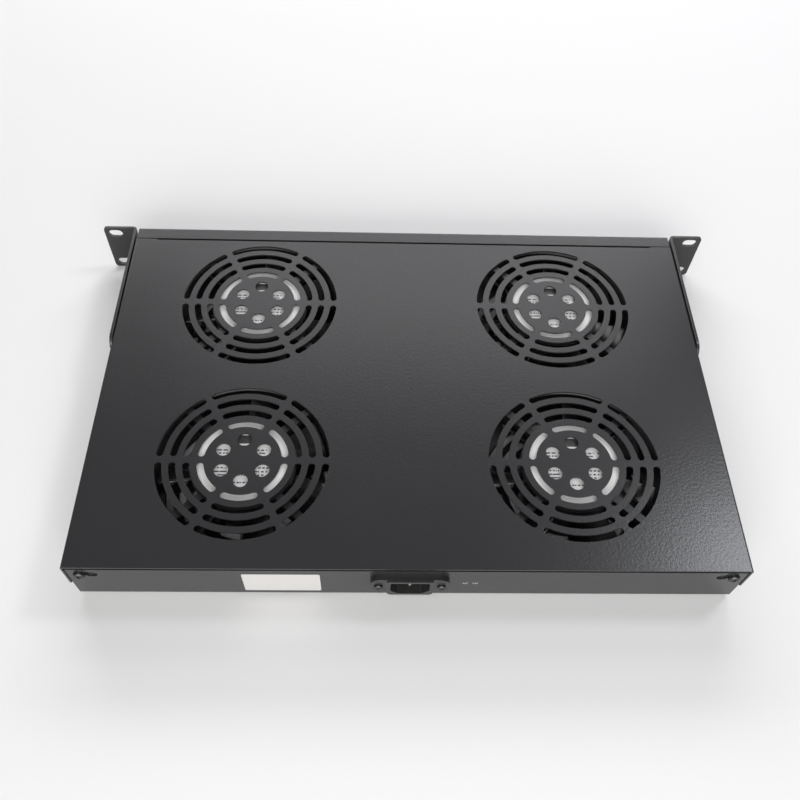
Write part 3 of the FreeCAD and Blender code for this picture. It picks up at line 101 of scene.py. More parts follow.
FANS = ("front_left", "front_right", "back_left", "back_right")
MM = 0.001
MERGE = 1e-6
SMOOTH_ANGLE = math.radians(32)
EDGE_ANGLE = math.radians(28)
FLAT_ANGLE = math.radians(0.3)
WORN = "worn"
SHEET_STRIPS = 23
FOIL_SIDES = 96
FOIL_RIM = 0.1 * MM
FOIL_RIM_STEPS = 2
LABEL_RIM = 0.06 * MM
LABEL_CORNER_STEPS = 6
MARK_RING_SIDES = 32
LETTER_WIDTH = 0.7
LETTER_PITCH = 1.05
SENSOR_WIDTH = 36
NEAREST_SEEN = 0.01
FLOOR_GAP = 0.05 * MM
FLOOR_REACH = 2.0
FLOOR_ROUGHNESS = 0.9
FLOOR_SPECULAR = 0.2


def length(name, description, default):
    return FloatProperty(
        name=name, description=description, default=default, min=0, unit="LENGTH", precision=5)


def offset(name, description, default):
    return FloatProperty(name=name, description=description, default=default, unit="LENGTH")


def angle(name, description, degrees):
    return FloatProperty(
        name=name, description=description, default=math.radians(degrees), subtype="ANGLE")


def colour(name, description, default):
    return FloatVectorProperty(
        name=name, description=description, default=default, subtype="COLOR", min=0, max=1)


def share(name, description, default):
    return FloatProperty(
        name=name, description=description, default=default, min=0, max=1, subtype="FACTOR")


def strength(name, description, default):
    return FloatProperty(name=name, description=description, default=default, min=0)


class FanTraySizes(PropertyGroup):
    """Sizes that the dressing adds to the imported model."""

    sheet_edge: length("Sheet edge", "Radius left on the cut edges of the coated sheet", 0.34 * MM)
    casting_edge: length("Casting edge", "Radius on the edges of the fan frames", 0.45 * MM)
    blade_edge: length("Blade edge", "Radius on the edges of the impellers", 0.4 * MM)
    moulding_edge: length(
        "Moulding edge", "Radius on the edges of the inlet and the switch", 0.35 * MM)
    small_edge: length("Small edge", "Radius on the edges of nuts, tabs and terminals", 0.15 * MM)
    edge_steps: IntProperty(
        name="Edge steps", description="Faces across a rounded edge", default=2, min=1, max=6)
    label_corner: length("Label corner", "Corner radius of the rating label", 1.2 * MM)
    mark_ring: length("Mark ring", "Outer radius of the ring on the rocker", 2.0 * MM)
    mark_line: length("Mark line", "Width of the lines of the marks", 0.55 * MM)
    print_height: length("Print height", "How far print stands on its surface", 0.04 * MM)
    inlet_mark: StringProperty(
        name="Inlet mark", description="Plain mark beside the inlet", default="AC IN")
    letter_height: length("Letter height", "Height of the letters beside the inlet", 1.9 * MM)
    letter_line: length("Letter line", "Width of the strokes of the letters", 0.36 * MM)
    inlet_mark_x: offset("Inlet mark X", "Where the mark beside the inlet starts", -34.0 * MM)
    inlet_mark_z: offset("Inlet mark Z", "Foot of the mark beside the inlet", -3.2 * MM)


class FanTrayColours(PropertyGroup):
    """Colours and gloss of the materials."""

    coat: colour("Powder coat", "Colour of the coated sheet", (0.026, 0.0255, 0.0275))
    # Pale colour on every rounded edge of the coat: partly rubbed wear, partly a painted highlight
    # where the edges catch the light.
    coat_edge_wear_and_highlight: colour(
        "Rubbed coat", "Colour of the coat where edges are rubbed", (0.24, 0.235, 0.25))
    coat_roughness: share("Coat roughness", "Gloss of the powder coat", 0.26)
    casting: colour("Fan frame", "Colour of the painted fan frames", (0.012, 0.012, 0.013))
    blade: colour("Impeller", "Colour of the impellers", (0.010, 0.010, 0.011))
    blade_roughness: share("Impeller roughness", "Gloss of the impellers", 0.16)
    hub_label: colour("Hub label", "Colour of the foil on the fan hubs", (0.86, 0.86, 0.85))
    print_ink: colour("Print", "Colour of the print on the hub labels", (0.02, 0.02, 0.022))
    paper: colour("Rating label", "Colour of the bare rating label", (0.60, 0.59, 0.575))
    inlet: colour("Inlet", "Colour of the inlet and the switch", (0.026, 0.026, 0.026))
    zinc: colour("Zinc", "Colour of the plated fasteners", (0.50, 0.50, 0.48))
    blackened: colour("Blackened steel", "Colour of the blackened screws", (0.11, 0.11, 0.115))
    nickel: colour("Nickel", "Colour of pins and tabs", (0.80, 0.78, 0.74))
    steel: colour("Steel", "Colour of shafts and bearings", (0.52, 0.52, 0.53))
    copper: colour("Copper", "Colour of the windings", (0.62, 0.27, 0.13))
    nylon: colour("Nylon", "Colour of the terminal block and the clips", (0.72, 0.70, 0.62))
    sleeve: colour("Sleeve", "Colour of the push-on sleeves", (0.50, 0.03, 0.025))
    brown: colour("Brown lead", "Colour of the live leads", (0.13, 0.045, 0.02))
    blue: colour("Blue lead", "Colour of the neutral lead", (0.02, 0.09, 0.38))
    green: colour("Green stripe", "First colour of the earth lead", (0.03, 0.26, 0.03))
    yellow: colour("Yellow stripe", "Second colour of the earth lead", (0.78, 0.62, 0.03))
    black_lead: colour("Black lead", "Colour of the fans' leads", (0.015, 0.015, 0.015))


class FanTrayStage(PropertyGroup):
    """Camera, floor and lamps."""

    elevation: angle("Elevation", "Height of the view above the horizon", 56.04)
    azimuth: angle("Azimuth", "Turn of the view from straight behind the tray", -3.12)
    roll: angle("Roll", "Tilt of the camera about its own axis", -3.24)
    lens: FloatProperty(
        name="Lens", description="Focal length on a 36 mm sensor", default=37.94, min=1, max=300)
    place: FloatVectorProperty(
        name="Camera place", description="Where the camera stands",
        default=(0.02385, 0.48992, 0.50957), subtype="XYZ", unit="LENGTH", precision=4)
    floor: colour("Floor", "Colour of the floor", (0.88, 0.88, 0.88))
    world: strength("World", "Strength of the even light all round", 0.04)
    backdrop: share("Backdrop", "How bright the empty space shows behind the object", 0.82)
    sheen: share("Sheen", "How bright the empty space shows in reflections", 0.12)
    key: strength("Key lamp", "Power of the small cool lamp high over one ear", 4.7)
    rake: strength("Rake lamp", "Power of the low lamp over the front", 17.5)
    high: strength("High lamp", "Power of the lamp high over the front", 4)
    side: strength("Side lamp", "Power of the low lamp before the other ear", 6.5)
    back: strength("Back lamp", "Power of the wide lamp behind the inlet", 52)
    top: strength("Top lamp", "Power of the lamp over the camera", 6.5)


# ---- material trees ----

PEEL_GRAINS = 3.4
HAIRLINE_STRETCH = (1.0, 0.04, 1.0)

# How the coat and the blades vary, and the second colours of the materials: what dust,
# soil, stains and rubbing show.
COAT_CLOUD = 1.5
COAT_GLOSSIER = 0.008
COAT_DULLER = 0.012
DUST_ROUGHNESS = 0.3
BLADE_DULLER = 0.12
COAT_DUST = (0.30, 0.29, 0.28)
CASTING_RUB = (0.09, 0.088, 0.085)
CASTING_DUST = (0.26, 0.25, 0.23)
BLADE_FILM = (0.30, 0.28, 0.24)
BLADE_DUST = (0.28, 0.26, 0.22)
FOIL_CLOUD = (0.62, 0.62, 0.60)
PAPER_CLOUD = (0.66, 0.64, 0.61)
PAPER_SOIL = (0.42, 0.40, 0.38)
MOULDING_CLOUD = 1.35
MOULDING_LIFT = 0.004
PLASTIC_RUB = (0.20, 0.19, 0.18)
NYLON_RUB = (0.60, 0.58, 0.50)
VINYL_RUB = (0.60, 0.20, 0.18)
PRINT_RUB = (0.5, 0.5, 0.5)
SWITCH_PRINT = (0.78, 0.78, 0.76)
PANEL_PRINT = (0.58, 0.57, 0.56)
ZINC_STAIN = (0.40, 0.38, 0.33)
BLACKENED_STAIN = (0.07, 0.068, 0.066)
NICKEL_STAIN = (0.50, 0.44, 0.34)
STEEL_STAIN = (0.40, 0.39, 0.38)
COPPER_STAIN = (0.30, 0.12, 0.06)
LEAD_BLOOM = (0.40, 0.38, 0.36)

# The plain print of a hub label, in mm: middle X, half width, middle Y, half height.
HUB_PATCH = (0.0, 7.5, -15.0, 5.6)
HUB_BAR = (0.0, 4.2, -13.4, 0.7)
HUB_RULE_HALF = 0.55
HUB_RULES = ((-9.0, 20.0), (-6.6, 17.0), (4.6, 20.0), (7.4, 21.0), (10.0, 16.0), (15.6, 11.0))
HUB_RING_RADIUS = 31.2 * MM
HUB_RING_HALF = 0.2 * MM
WORD_PITCH = 1.3 * MM
WORD_STRETCH = (1.0, 0.25, 0.0)
STRIPE_PITCH = 2.2 * MM


class Tree:
    """Short ways to add nodes to one node tree."""

    def __init__(self, tree):
        self.tree = tree

    def node(self, kind, **settings):
        made = self.tree.nodes.new(kind)
        for name, value in settings.items():
            setattr(made, name, value)
        return made

    def join(self, source, target):
        self.tree.links.new(source, target)

    def feed(self, target, value):
        """Links an output to the input, or sets the input to a plain value."""
        if isinstance(value, bpy.types.NodeSocket):
            self.join(value, target)
        else:
            target.default_value = value

    def maths(self, operation, first, second=0.0, third=0.0, clamp=False):
        made = self.node("ShaderNodeMath", operation=operation, use_clamp=clamp)
        for target, value in zip(made.inputs, (first, second, third)):
            self.feed(target, value)
        return made.outputs["Value"]

    def ramp(self, value, low, high, to_low=0.0, to_high=1.0, kind="LINEAR"):
        made = self.node("ShaderNodeMapRange", interpolation_type=kind)
        made.clamp = True
        for name, number in (("Value", value), ("From Min", low), ("From Max", high),
                             ("To Min", to_low), ("To Max", to_high)):
            self.feed(made.inputs[name], number)
        return made.outputs["Result"]

    def noise(self, place, scale, detail=2.0, roughness=0.5):
        made = self.node("ShaderNodeTexNoise")
        for name, value in (("Vector", place), ("Scale", scale),
                            ("Detail", detail), ("Roughness", roughness)):
            self.feed(made.inputs[name], value)
        return made.outputs["Fac"]

    def scaled(self, place, factors):
        made = self.node("ShaderNodeVectorMath", operation="MULTIPLY")
        self.feed(made.inputs[0], place)
        made.inputs[1].default_value = factors
        return made.outputs["Vector"]


class Recipe(Tree):
    """One material: its tree, its Principled shader and its Object coordinates."""

    def __init__(self, name):
        self.material = bpy.data.materials.new(name)
        self.material.use_nodes = True
        super().__init__(self.material.node_tree)
        self.shader = self.tree.nodes["Principled BSDF"]
        self.place = self.node("ShaderNodeTexCoord").outputs["Object"]

    def set(self, **values):
        """Feeds the shader's sockets: base_color means Base Color, and so on."""
        for name, value in values.items():
            socket = self.shader.inputs[name.replace("_", " ").title().replace("Ior", "IOR")]
            if name == "base_color" and not isinstance(value, bpy.types.NodeSocket):
                value = (*value, 1.0)
            self.feed(socket, value)

    def effect(self, name, **values):
        """Places the shared group of that name, which reads the same coordinates."""
        made = self.node("ShaderNodeGroup", node_tree=group(name))
        self.join(self.place, made.inputs["Place"])
        for socket, value in values.items():
            self.feed(made.inputs[socket], value)
        return made.outputs[0]

    def blend(self, factor, first, second):
        made = self.node("ShaderNodeMix", data_type="RGBA")
        made.clamp_factor = True
        self.feed(made.inputs["Factor"], factor)
        colours = [socket for socket in made.inputs if socket.type == "RGBA"]
        for target, value in zip(colours, (first, second)):
            self.feed(target, value if isinstance(value, bpy.types.NodeSocket) else (*value, 1.0))
        return [socket for socket in made.outputs if socket.type == "RGBA"][0]

    def fade(self, first, second, mask, most):
        """The first colour, and as much as most of the second where the mask is full."""
        return self.blend(self.maths("MULTIPLY", mask, most), first, second)

    def gloss(self, cloud, low, high):
        """A roughness between low and high that follows the clouding."""
        return self.ramp(cloud, 0.0, 1.0, low, high)

    def bump(self, height, depth, strength):
        made = self.node("ShaderNodeBump")
        made.inputs["Distance"].default_value = depth
        made.inputs["Strength"].default_value = strength
        self.join(height, made.inputs["Height"])
        self.join(made.outputs["Normal"], self.shader.inputs["Normal"])


def new_group(name, inputs, output):
    """A node group with named value or vector inputs and one output."""
    group = bpy.data.node_groups.new(name, "ShaderNodeTree")
    for socket_name, kind, default in inputs:
        socket = group.interface.new_socket(socket_name, in_out="INPUT", socket_type=kind)
        if default is not None:
            socket.default_value = default
    group.interface.new_socket(output, in_out="OUTPUT", socket_type="NodeSocketFloat")
    tree = Tree(group)
    entry = tree.node("NodeGroupInput")
    leave = tree.node("NodeGroupOutput")
    return group, tree, entry.outputs, leave.inputs[0]


def orange_peel_group():
    """The slow waves and the fine grain of a powder coat, as a height."""
    group, tree, entry, leave = new_group(
        "Orange peel",
        [("Place", "NodeSocketVector", None), ("Cell", "NodeSocketFloat", 1.1 * MM),
         ("Grain", "NodeSocketFloat", 0.45)],
        "Height")
    waves = tree.noise(entry["Place"], tree.maths("DIVIDE", 1.0, entry["Cell"]), detail=1.0)
    fine = tree.noise(entry["Place"], tree.maths("DIVIDE", PEEL_GRAINS, entry["Cell"]))
    tree.join(tree.maths("MULTIPLY_ADD", fine, entry["Grain"], waves), leave)
    return group


def clouding_group():
    """Slow, uneven variation, such as handling leaves on a surface."""
    group, tree, entry, leave = new_group(
        "Clouding",
        [("Place", "NodeSocketVector", None), ("Size", "NodeSocketFloat", 40 * MM)],
        "Cloud")
    scale = tree.maths("DIVIDE", 1.0, entry["Size"])
    cloud = tree.noise(entry["Place"], scale, detail=4.0, roughness=0.55)
    tree.join(tree.ramp(cloud, low=0.2, high=0.8, kind="SMOOTHSTEP"), leave)
    return group


def dust_group():
    """Scattered specks of dust that settle on faces that look up."""
    group, tree, entry, leave = new_group(
        "Dust",
        [("Place", "NodeSocketVector", None), ("Spacing", "NodeSocketFloat", 3 * MM),
         ("Speck", "NodeSocketFloat", 0.07), ("Amount", "NodeSocketFloat", 0.5)],
        "Mask")
    cells = tree.node("ShaderNodeTexVoronoi")
    tree.join(entry["Place"], cells.inputs["Vector"])
    tree.join(tree.maths("DIVIDE", 1.0, entry["Spacing"]), cells.inputs["Scale"])
    chance = tree.node("ShaderNodeSeparateColor")
    tree.join(cells.outputs["Color"], chance.inputs["Color"])
    kept = tree.maths("LESS_THAN", chance.outputs["Red"], entry["Amount"])
    size = tree.maths("MULTIPLY", entry["Speck"], chance.outputs["Green"])
    near = tree.maths("LESS_THAN", cells.outputs["Distance"], size)
    facing = tree.node("ShaderNodeNewGeometry")
    up = tree.node("ShaderNodeSeparateXYZ")
    tree.join(facing.outputs["Normal"], up.inputs["Vector"])
    level = tree.ramp(up.outputs["Z"], low=0.2, high=0.9)
    tree.join(tree.maths("MULTIPLY", tree.maths("MULTIPLY", kept, near), level), leave)
    return group


def rubbed_edge_group():
    """Where rounded edges have been rubbed by handling, broken up by noise; on the powder coat the
    same mask also places a painted edge highlight.
    """
    group, tree, entry, leave = new_group(
        "Rubbed edge",
        [("Place", "NodeSocketVector", None), ("Patch", "NodeSocketFloat", 6 * MM),
         ("Least", "NodeSocketFloat", 0.3)],
        "Mask")
    edge = tree.node("ShaderNodeAttribute", attribute_name=WORN).outputs["Fac"]
    scale = tree.maths("DIVIDE", 1.0, entry["Patch"])
    patches = tree.noise(entry["Place"], scale, detail=5.0, roughness=0.6)
    bared = tree.ramp(patches, low=0.38, high=0.62, to_low=entry["Least"])
    tree.join(tree.maths("MULTIPLY", edge, bared), leave)
    return group


def hairline_group():
    """Fine parallel lines, as turning, drawing or rolling leaves on metal."""
    group, tree, entry, leave = new_group(
        "Hairlines",
        [("Place", "NodeSocketVector", None), ("Pitch", "NodeSocketFloat", 0.12 * MM)],
        "Height")
    drawn = tree.scaled(entry["Place"], HAIRLINE_STRETCH)
    scale = tree.maths("DIVIDE", 1.0, entry["Pitch"])
    tree.join(tree.noise(drawn, scale, detail=3.0, roughness=0.65), leave)
    return group


def moulded_grain_group():
    """The fine matt grain that a spark-eroded mould leaves on plastic."""
    group, tree, entry, leave = new_group(
        "Moulded grain",
        [("Place", "NodeSocketVector", None), ("Grain", "NodeSocketFloat", 0.25 * MM)],
        "Height")
    scale = tree.maths("DIVIDE", 1.0, entry["Grain"])
    grain = tree.noise(entry["Place"], scale, detail=3.0, roughness=0.6)
    tree.join(tree.ramp(grain, low=0.25, high=0.75), leave)
    return group


GROUP_MAKERS = {
    "peel": orange_peel_group,
    "clouding": clouding_group,
    "dust": dust_group,
    "rubbed": rubbed_edge_group,
    "hairlines": hairline_group,
    "grain": moulded_grain_group,
}
GROUPS = {}
MATERIALS = {}


def group(name):
    """The shared node group of that name, made when it is first used."""
    if name not in GROUPS:
        GROUPS[name] = GROUP_MAKERS[name]()
    return GROUPS[name]


def powder_coat(colours):
    """Satin black powder coat with orange peel, slight clouding, dust, and pale rounded edges that
    are partly rubbed wear and partly a painted highlight.
    """
    recipe = Recipe("powder_coat")
    cloud = recipe.effect("clouding", Size=90 * MM)
    rubbed = recipe.effect("rubbed", Patch=7 * MM, Least=0.3)
    dust = recipe.effect("dust", Spacing=5 * MM, Speck=0.04, Amount=0.12)
    paler = [channel * COAT_CLOUD for channel in colours.coat]
    tint = recipe.fade(colours.coat, paler, mask=cloud, most=0.08)
    # Paler on every rounded edge: partly rubbed wear, partly a painted edge highlight.
    worn = recipe.fade(tint, colours.coat_edge_wear_and_highlight, mask=rubbed, most=0.7)
    dusty = recipe.fade(worn, COAT_DUST, mask=dust, most=0.55)
    base = colours.coat_roughness
    gloss = recipe.gloss(cloud, low=base - COAT_GLOSSIER, high=base + COAT_DULLER)
    roughness = recipe.maths("MULTIPLY_ADD", dust, DUST_ROUGHNESS, gloss)
    recipe.set(base_color=dusty, roughness=roughness)
    peel = recipe.effect("peel", Cell=1.9 * MM, Grain=0.4)
    recipe.bump(peel, depth=0.06 * MM, strength=1.0)
    return recipe.material


def painted_casting(colours):
    """Black stoved paint over a die casting, a little glossy and pitted."""
    recipe = Recipe("painted_casting")
    cloud = recipe.effect("clouding", Size=14 * MM)
    rubbed = recipe.effect("rubbed", Patch=3 * MM, Least=0.3)
    dust = recipe.effect("dust", Spacing=2.5 * MM, Speck=0.06, Amount=0.5)
    tint = recipe.fade(colours.casting, CASTING_RUB, mask=rubbed, most=0.35)
    dusty = recipe.fade(tint, CASTING_DUST, mask=dust, most=0.5)
    recipe.set(base_color=dusty, roughness=recipe.gloss(cloud, low=0.26, high=0.38))
    peel = recipe.effect("peel", Cell=0.9 * MM, Grain=0.6)
    recipe.bump(peel, depth=0.03 * MM, strength=0.7)
    return recipe.material


def impeller_plastic(colours):
    """Glossy black moulded plastic of the blades, with a film of dust."""
    recipe = Recipe("impeller_plastic")
    cloud = recipe.effect("clouding", Size=9 * MM)
    dust = recipe.effect("dust", Spacing=2.2 * MM, Speck=0.05, Amount=0.4)
    film = recipe.fade(colours.blade, BLADE_FILM, mask=cloud, most=0.05)
    dusty = recipe.fade(film, BLADE_DUST, mask=dust, most=0.5)
    low = colours.blade_roughness
    recipe.set(base_color=dusty, roughness=recipe.gloss(cloud, low, low + BLADE_DULLER), ior=1.52)
    recipe.bump(recipe.effect("grain", Grain=1.5 * MM), depth=0.01 * MM, strength=0.4)
    return recipe.material


def hub_label_foil(colours):
    """Pale foil with a plain dark patch and plain ruled lines where the print goes."""
    recipe = Recipe("hub_label_foil")
    hub = recipe.node("ShaderNodeAttribute", attribute_name="hub_place").outputs["Vector"]
    axes = recipe.node("ShaderNodeSeparateXYZ")
    recipe.join(hub, axes.inputs["Vector"])

    def inside(value, middle, half):
        away = recipe.maths("ABSOLUTE", recipe.maths("SUBTRACT", value, middle))
        return recipe.maths("LESS_THAN", away, half)

    def rectangle(middle_x, half_x, middle_y, half_y):
        across = inside(axes.outputs["X"], middle_x * MM, half_x * MM)
        along = inside(axes.outputs["Y"], middle_y * MM, half_y * MM)
        return recipe.maths("MULTIPLY", across, along)

    patch = rectangle(*HUB_PATCH)
    ink = recipe.maths("SUBTRACT", patch, rectangle(*HUB_BAR), clamp=True)
    pieces = recipe.noise(recipe.scaled(hub, WORD_STRETCH), 1.0 / WORD_PITCH, detail=0.0)
    words = recipe.ramp(pieces, low=0.44, high=0.5)
    for line_y, half_line in HUB_RULES:
        rule = rectangle(0.0, half_line, line_y, HUB_RULE_HALF)
        ink = recipe.maths("MAXIMUM", ink, recipe.maths("MULTIPLY", rule, words))
    radius = recipe.node("ShaderNodeVectorMath", operation="LENGTH")
    recipe.join(hub, radius.inputs[0])
    ring = inside(radius.outputs["Value"], HUB_RING_RADIUS, HUB_RING_HALF)
    ink = recipe.maths("MAXIMUM", ink, ring)
    cloud = recipe.effect("clouding", Size=6 * MM)
    foil = recipe.fade(colours.hub_label, FOIL_CLOUD, mask=cloud, most=0.10)
    printed = recipe.fade(foil, colours.print_ink, mask=ink, most=0.96)
    recipe.set(base_color=printed, roughness=recipe.gloss(cloud, low=0.32, high=0.44))
    recipe.bump(recipe.effect("grain", Grain=0.4 * MM), depth=0.004 * MM, strength=0.3)
    return recipe.material


def label_paper(colours):
    """The bare rating label: matt white film, faintly clouded, with a slightly soiled rim."""
    recipe = Recipe("label_paper")
    cloud = recipe.effect("clouding", Size=12 * MM)
    rubbed = recipe.effect("rubbed", Patch=2 * MM, Least=0.3)
    film = recipe.fade(colours.paper, PAPER_CLOUD, mask=cloud, most=0.12)
    soiled = recipe.fade(film, PAPER_SOIL, mask=rubbed, most=0.5)
    recipe.set(base_color=soiled, roughness=recipe.gloss(cloud, low=0.5, high=0.62))
    recipe.bump(recipe.effect("grain", Grain=0.3 * MM), depth=0.004 * MM, strength=0.4)
    return recipe.material


def moulding(name, base, grain, low, high, rub=PLASTIC_RUB):
    """Moulded plastic with a grain, uneven gloss and slightly pale edges."""
    recipe = Recipe(name)
    cloud = recipe.effect("clouding", Size=8 * MM)
    rubbed = recipe.effect("rubbed", Patch=2 * MM, Least=0.3)
    paler = [min(1.0, channel * MOULDING_CLOUD + MOULDING_LIFT) for channel in base]
    tint = recipe.fade(base, paler, mask=cloud, most=0.10)
    worn = recipe.fade(tint, rub, mask=rubbed, most=0.3)
    recipe.set(base_color=worn, roughness=recipe.gloss(cloud, low, high))
    recipe.bump(recipe.effect("grain", Grain=grain), depth=0.015 * MM, strength=0.5)
    return recipe.material


def plated_metal(name, base, stain, low, high, pitch):
    """Plated or turned metal with fine lines and a slight stain."""
    recipe = Recipe(name)
    cloud = recipe.effect("clouding", Size=3 * MM)
    tint = recipe.fade(base, stain, mask=cloud, most=0.45)
    recipe.set(base_color=tint, metallic=1.0, roughness=recipe.gloss(cloud, low, high))
    recipe.bump(recipe.effect("hairlines", Pitch=pitch), depth=0.006 * MM, strength=0.5)
    return recipe.material


def windings(colours):
    """Enamelled copper wire, wound in fine turns round the core."""
    recipe = Recipe("windings")
    cloud = recipe.effect("clouding", Size=5 * MM)
    tint = recipe.fade(colours.copper, COPPER_STAIN, mask=cloud, most=0.5)
    recipe.set(base_color=tint, metallic=1.0, roughness=recipe.gloss(cloud, low=0.3, high=0.5))
    recipe.bump(recipe.effect("hairlines", Pitch=0.5 * MM), depth=0.06 * MM, strength=0.8)
    return recipe.material


def soft_surface(recipe, cloud, base, most):
    """The slight bloom, the gloss and the grain of cable insulation."""
    bloom = recipe.fade(base, LEAD_BLOOM, mask=cloud, most=most)
    recipe.set(base_color=bloom, roughness=recipe.gloss(cloud, low=0.38, high=0.5))
    recipe.bump(recipe.effect("grain", Grain=0.5 * MM), depth=0.01 * MM, strength=0.4)
    return recipe.material


def insulation(name, base):
    """Soft cable insulation of one colour."""
    recipe = Recipe(name)
    return soft_surface(recipe, recipe.effect("clouding", Size=10 * MM), base, most=0.10)


def earth_insulation(colours):
    """Green insulation with yellow stripes along the lead."""
    recipe = Recipe("earth_insulation")
    axes = recipe.node("ShaderNodeSeparateXYZ")
    recipe.join(recipe.place, axes.inputs["Vector"])
    turns = recipe.maths("MULTIPLY", axes.outputs["Z"], 2 * math.pi / STRIPE_PITCH)
    stripe = recipe.ramp(recipe.maths("SINE", turns), low=-0.1, high=0.1)
    cloud = recipe.effect("clouding", Size=10 * MM)
    striped = recipe.blend(stripe, colours.green, colours.yellow)
    return soft_surface(recipe, cloud, striped, most=0.08)


MATERIAL_MAKERS = {
    "powder_coat": powder_coat,
    "painted_casting": painted_casting,
    "impeller_plastic": impeller_plastic,
    "hub_label_foil": hub_label_foil,
    "label_paper": label_paper,
    "inlet_plastic": lambda c: moulding(
        "inlet_plastic", c.inlet, grain=0.35 * MM, low=0.30, high=0.42),
    "nylon": lambda c: moulding(
        "nylon", c.nylon, grain=0.5 * MM, low=0.40, high=0.52, rub=NYLON_RUB),
    "sleeve_vinyl": lambda c: moulding(
        "sleeve_vinyl", c.sleeve, grain=0.5 * MM, low=0.30, high=0.40, rub=VINYL_RUB),
    "switch_mark": lambda c: moulding(
        "switch_mark", SWITCH_PRINT, grain=0.3 * MM, low=0.40, high=0.50, rub=PRINT_RUB),
    "panel_print": lambda c: moulding(
        "panel_print", PANEL_PRINT, grain=0.3 * MM, low=0.45, high=0.55, rub=PRINT_RUB),
    "zinc_plate": lambda c: plated_metal(
        "zinc_plate", c.zinc, ZINC_STAIN, low=0.26, high=0.42, pitch=0.10 * MM),
    "blackened_plate": lambda c: plated_metal(
        "blackened_plate", c.blackened, BLACKENED_STAIN, low=0.34, high=0.50, pitch=0.10 * MM),
    "nickel_plate": lambda c: plated_metal(
        "nickel_plate", c.nickel, NICKEL_STAIN, low=0.18, high=0.30, pitch=0.08 * MM),
    "turned_steel": lambda c: plated_metal(
        "turned_steel", c.steel, STEEL_STAIN, low=0.20, high=0.32, pitch=0.06 * MM),
    "windings": windings,
    "brown_insulation": lambda c: insulation("brown_insulation", c.brown),
    "blue_insulation": lambda c: insulation("blue_insulation", c.blue),
    "black_insulation": lambda c: insulation("black_insulation", c.black_lead),
    "earth_insulation": earth_insulation,
}


def material(name):
    """The material of that name, made when it is first used."""
    if name not in MATERIALS:
        MATERIALS[name] = MATERIAL_MAKERS[name](bpy.context.scene.fan_tray_colours)
    return MATERIALS[name]


# ---- mesh helpers ----


def body_of(node):
    return frame["nodes"][node]["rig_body"]


def coat_node(node, name):
    """Gives a CAD node that stays as it is its material."""
    mesh = frame["nodes"][node].data
    mesh.materials.clear()
    mesh.materials.append(material(name))


def merged_copy(node):
    """The CAD node's mesh with its loose triangles joined into flat faces."""
    work = bmesh.new()
    work.from_mesh(frame["nodes"][node].data)
    work.faces.layers.float.new(WORN)
    bmesh.ops.remove_doubles(work, verts=work.verts[:], dist=MERGE)
    bmesh.ops.dissolve_limit(work, angle_limit=FLAT_ANGLE, verts=work.verts[:],
                             edges=work.edges[:], delimit=set())
    return work


def sharp_edges(work):
    return [edge for edge in work.edges
            if len(edge.link_faces) == 2 and edge.calc_face_angle(0.0) > EDGE_ANGLE]


def round_edges(work, edges, radius, steps):
    """Rounds the edges, and marks the new faces as worn where the mesh keeps that; on the powder
    coat this mark also places a painted edge highlight.
    """
    made = bmesh.ops.bevel(
        work, geom=edges, offset=radius, offset_type="OFFSET", affect="EDGES", segments=steps,
        profile=0.5, material=-1, clamp_overlap=True)
    worn = work.faces.layers.float.get(WORN)
    if worn is not None:
        for face in made["faces"]:
            face[worn] = 1.0


def make_piece(work, name, body, material_name, stands_for=()):
    """Turns the bmesh into a finished piece that rides on a body."""
    mesh = bpy.data.meshes.new(name)
    bmesh.ops.triangulate(work, faces=[face for face in work.faces if len(face.verts) > 4])
    work.to_mesh(mesh)
    work.free()
    mesh.shade_smooth()
    mesh.set_sharp_from_angle(angle=SMOOTH_ANGLE)
    mesh.materials.append(material(material_name))
    piece = bpy.data.objects.new(name, mesh)
    bpy.context.scene.collection.objects.link(piece)
    weighted = piece.modifiers.new("Weighted normals", "WEIGHTED_NORMAL")
    weighted.keep_sharp = True
    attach(piece, body)
    if stands_for:
        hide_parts(*stands_for)
    return piece


def cut_across(work, low, high, count):
    """Cuts a wide sheet along X into strips, so that no face has thousands of corners."""
    for step in range(1, count):
        place = low.lerp(high, step / count)
        bmesh.ops.bisect_plane(
            work, geom=work.verts[:] + work.edges[:] + work.faces[:], dist=MERGE,
            plane_co=(place.x, 0, 0), plane_no=(1, 0, 0))


def rounded_node(node, radius, material_name, name, strips=1):
    """A piece that stands for one CAD node, with its cut edges rounded."""
    work = merged_copy(node)
    cut_across(work, *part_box(node), strips)
    steps = bpy.context.scene.fan_tray_sizes.edge_steps
    round_edges(work, sharp_edges(work), radius, steps)
    make_piece(work, name, body_of(node), material_name, [node])


def rounded_family(family, radius, material_name, name):
    """A rounded piece for each of the four fans, all of one shape."""
    first_node = family + "_" + FANS[0]
    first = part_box(first_node)[0]
    shape = merged_copy(first_node)
    round_edges(shape, sharp_edges(shape), radius, bpy.context.scene.fan_tray_sizes.edge_steps)
    for fan in FANS:
        node = family + "_" + fan
        work = shape.copy()
        bmesh.ops.translate(work, verts=work.verts[:], vec=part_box(node)[0] - first)
        make_piece(work, name + "_" + fan, body_of(node), material_name, [node])
    shape.free()


def stroke(work, start, end, width):
    """A flat bar in the plane z = 0 from start to end."""
    along = Vector((end[0] - start[0], end[1] - start[1], 0.0))
    side = Vector((-along.y, along.x, 0.0)).normalized() * width / 2
    reach = along.normalized() * width / 2
    low = Vector((*start, 0.0)) - reach
    high = Vector((*end, 0.0)) + reach
    corners = (low - side, high - side, high + side, low + side)
    work.faces.new([work.verts.new(place) for place in corners])


# ---- operators ----

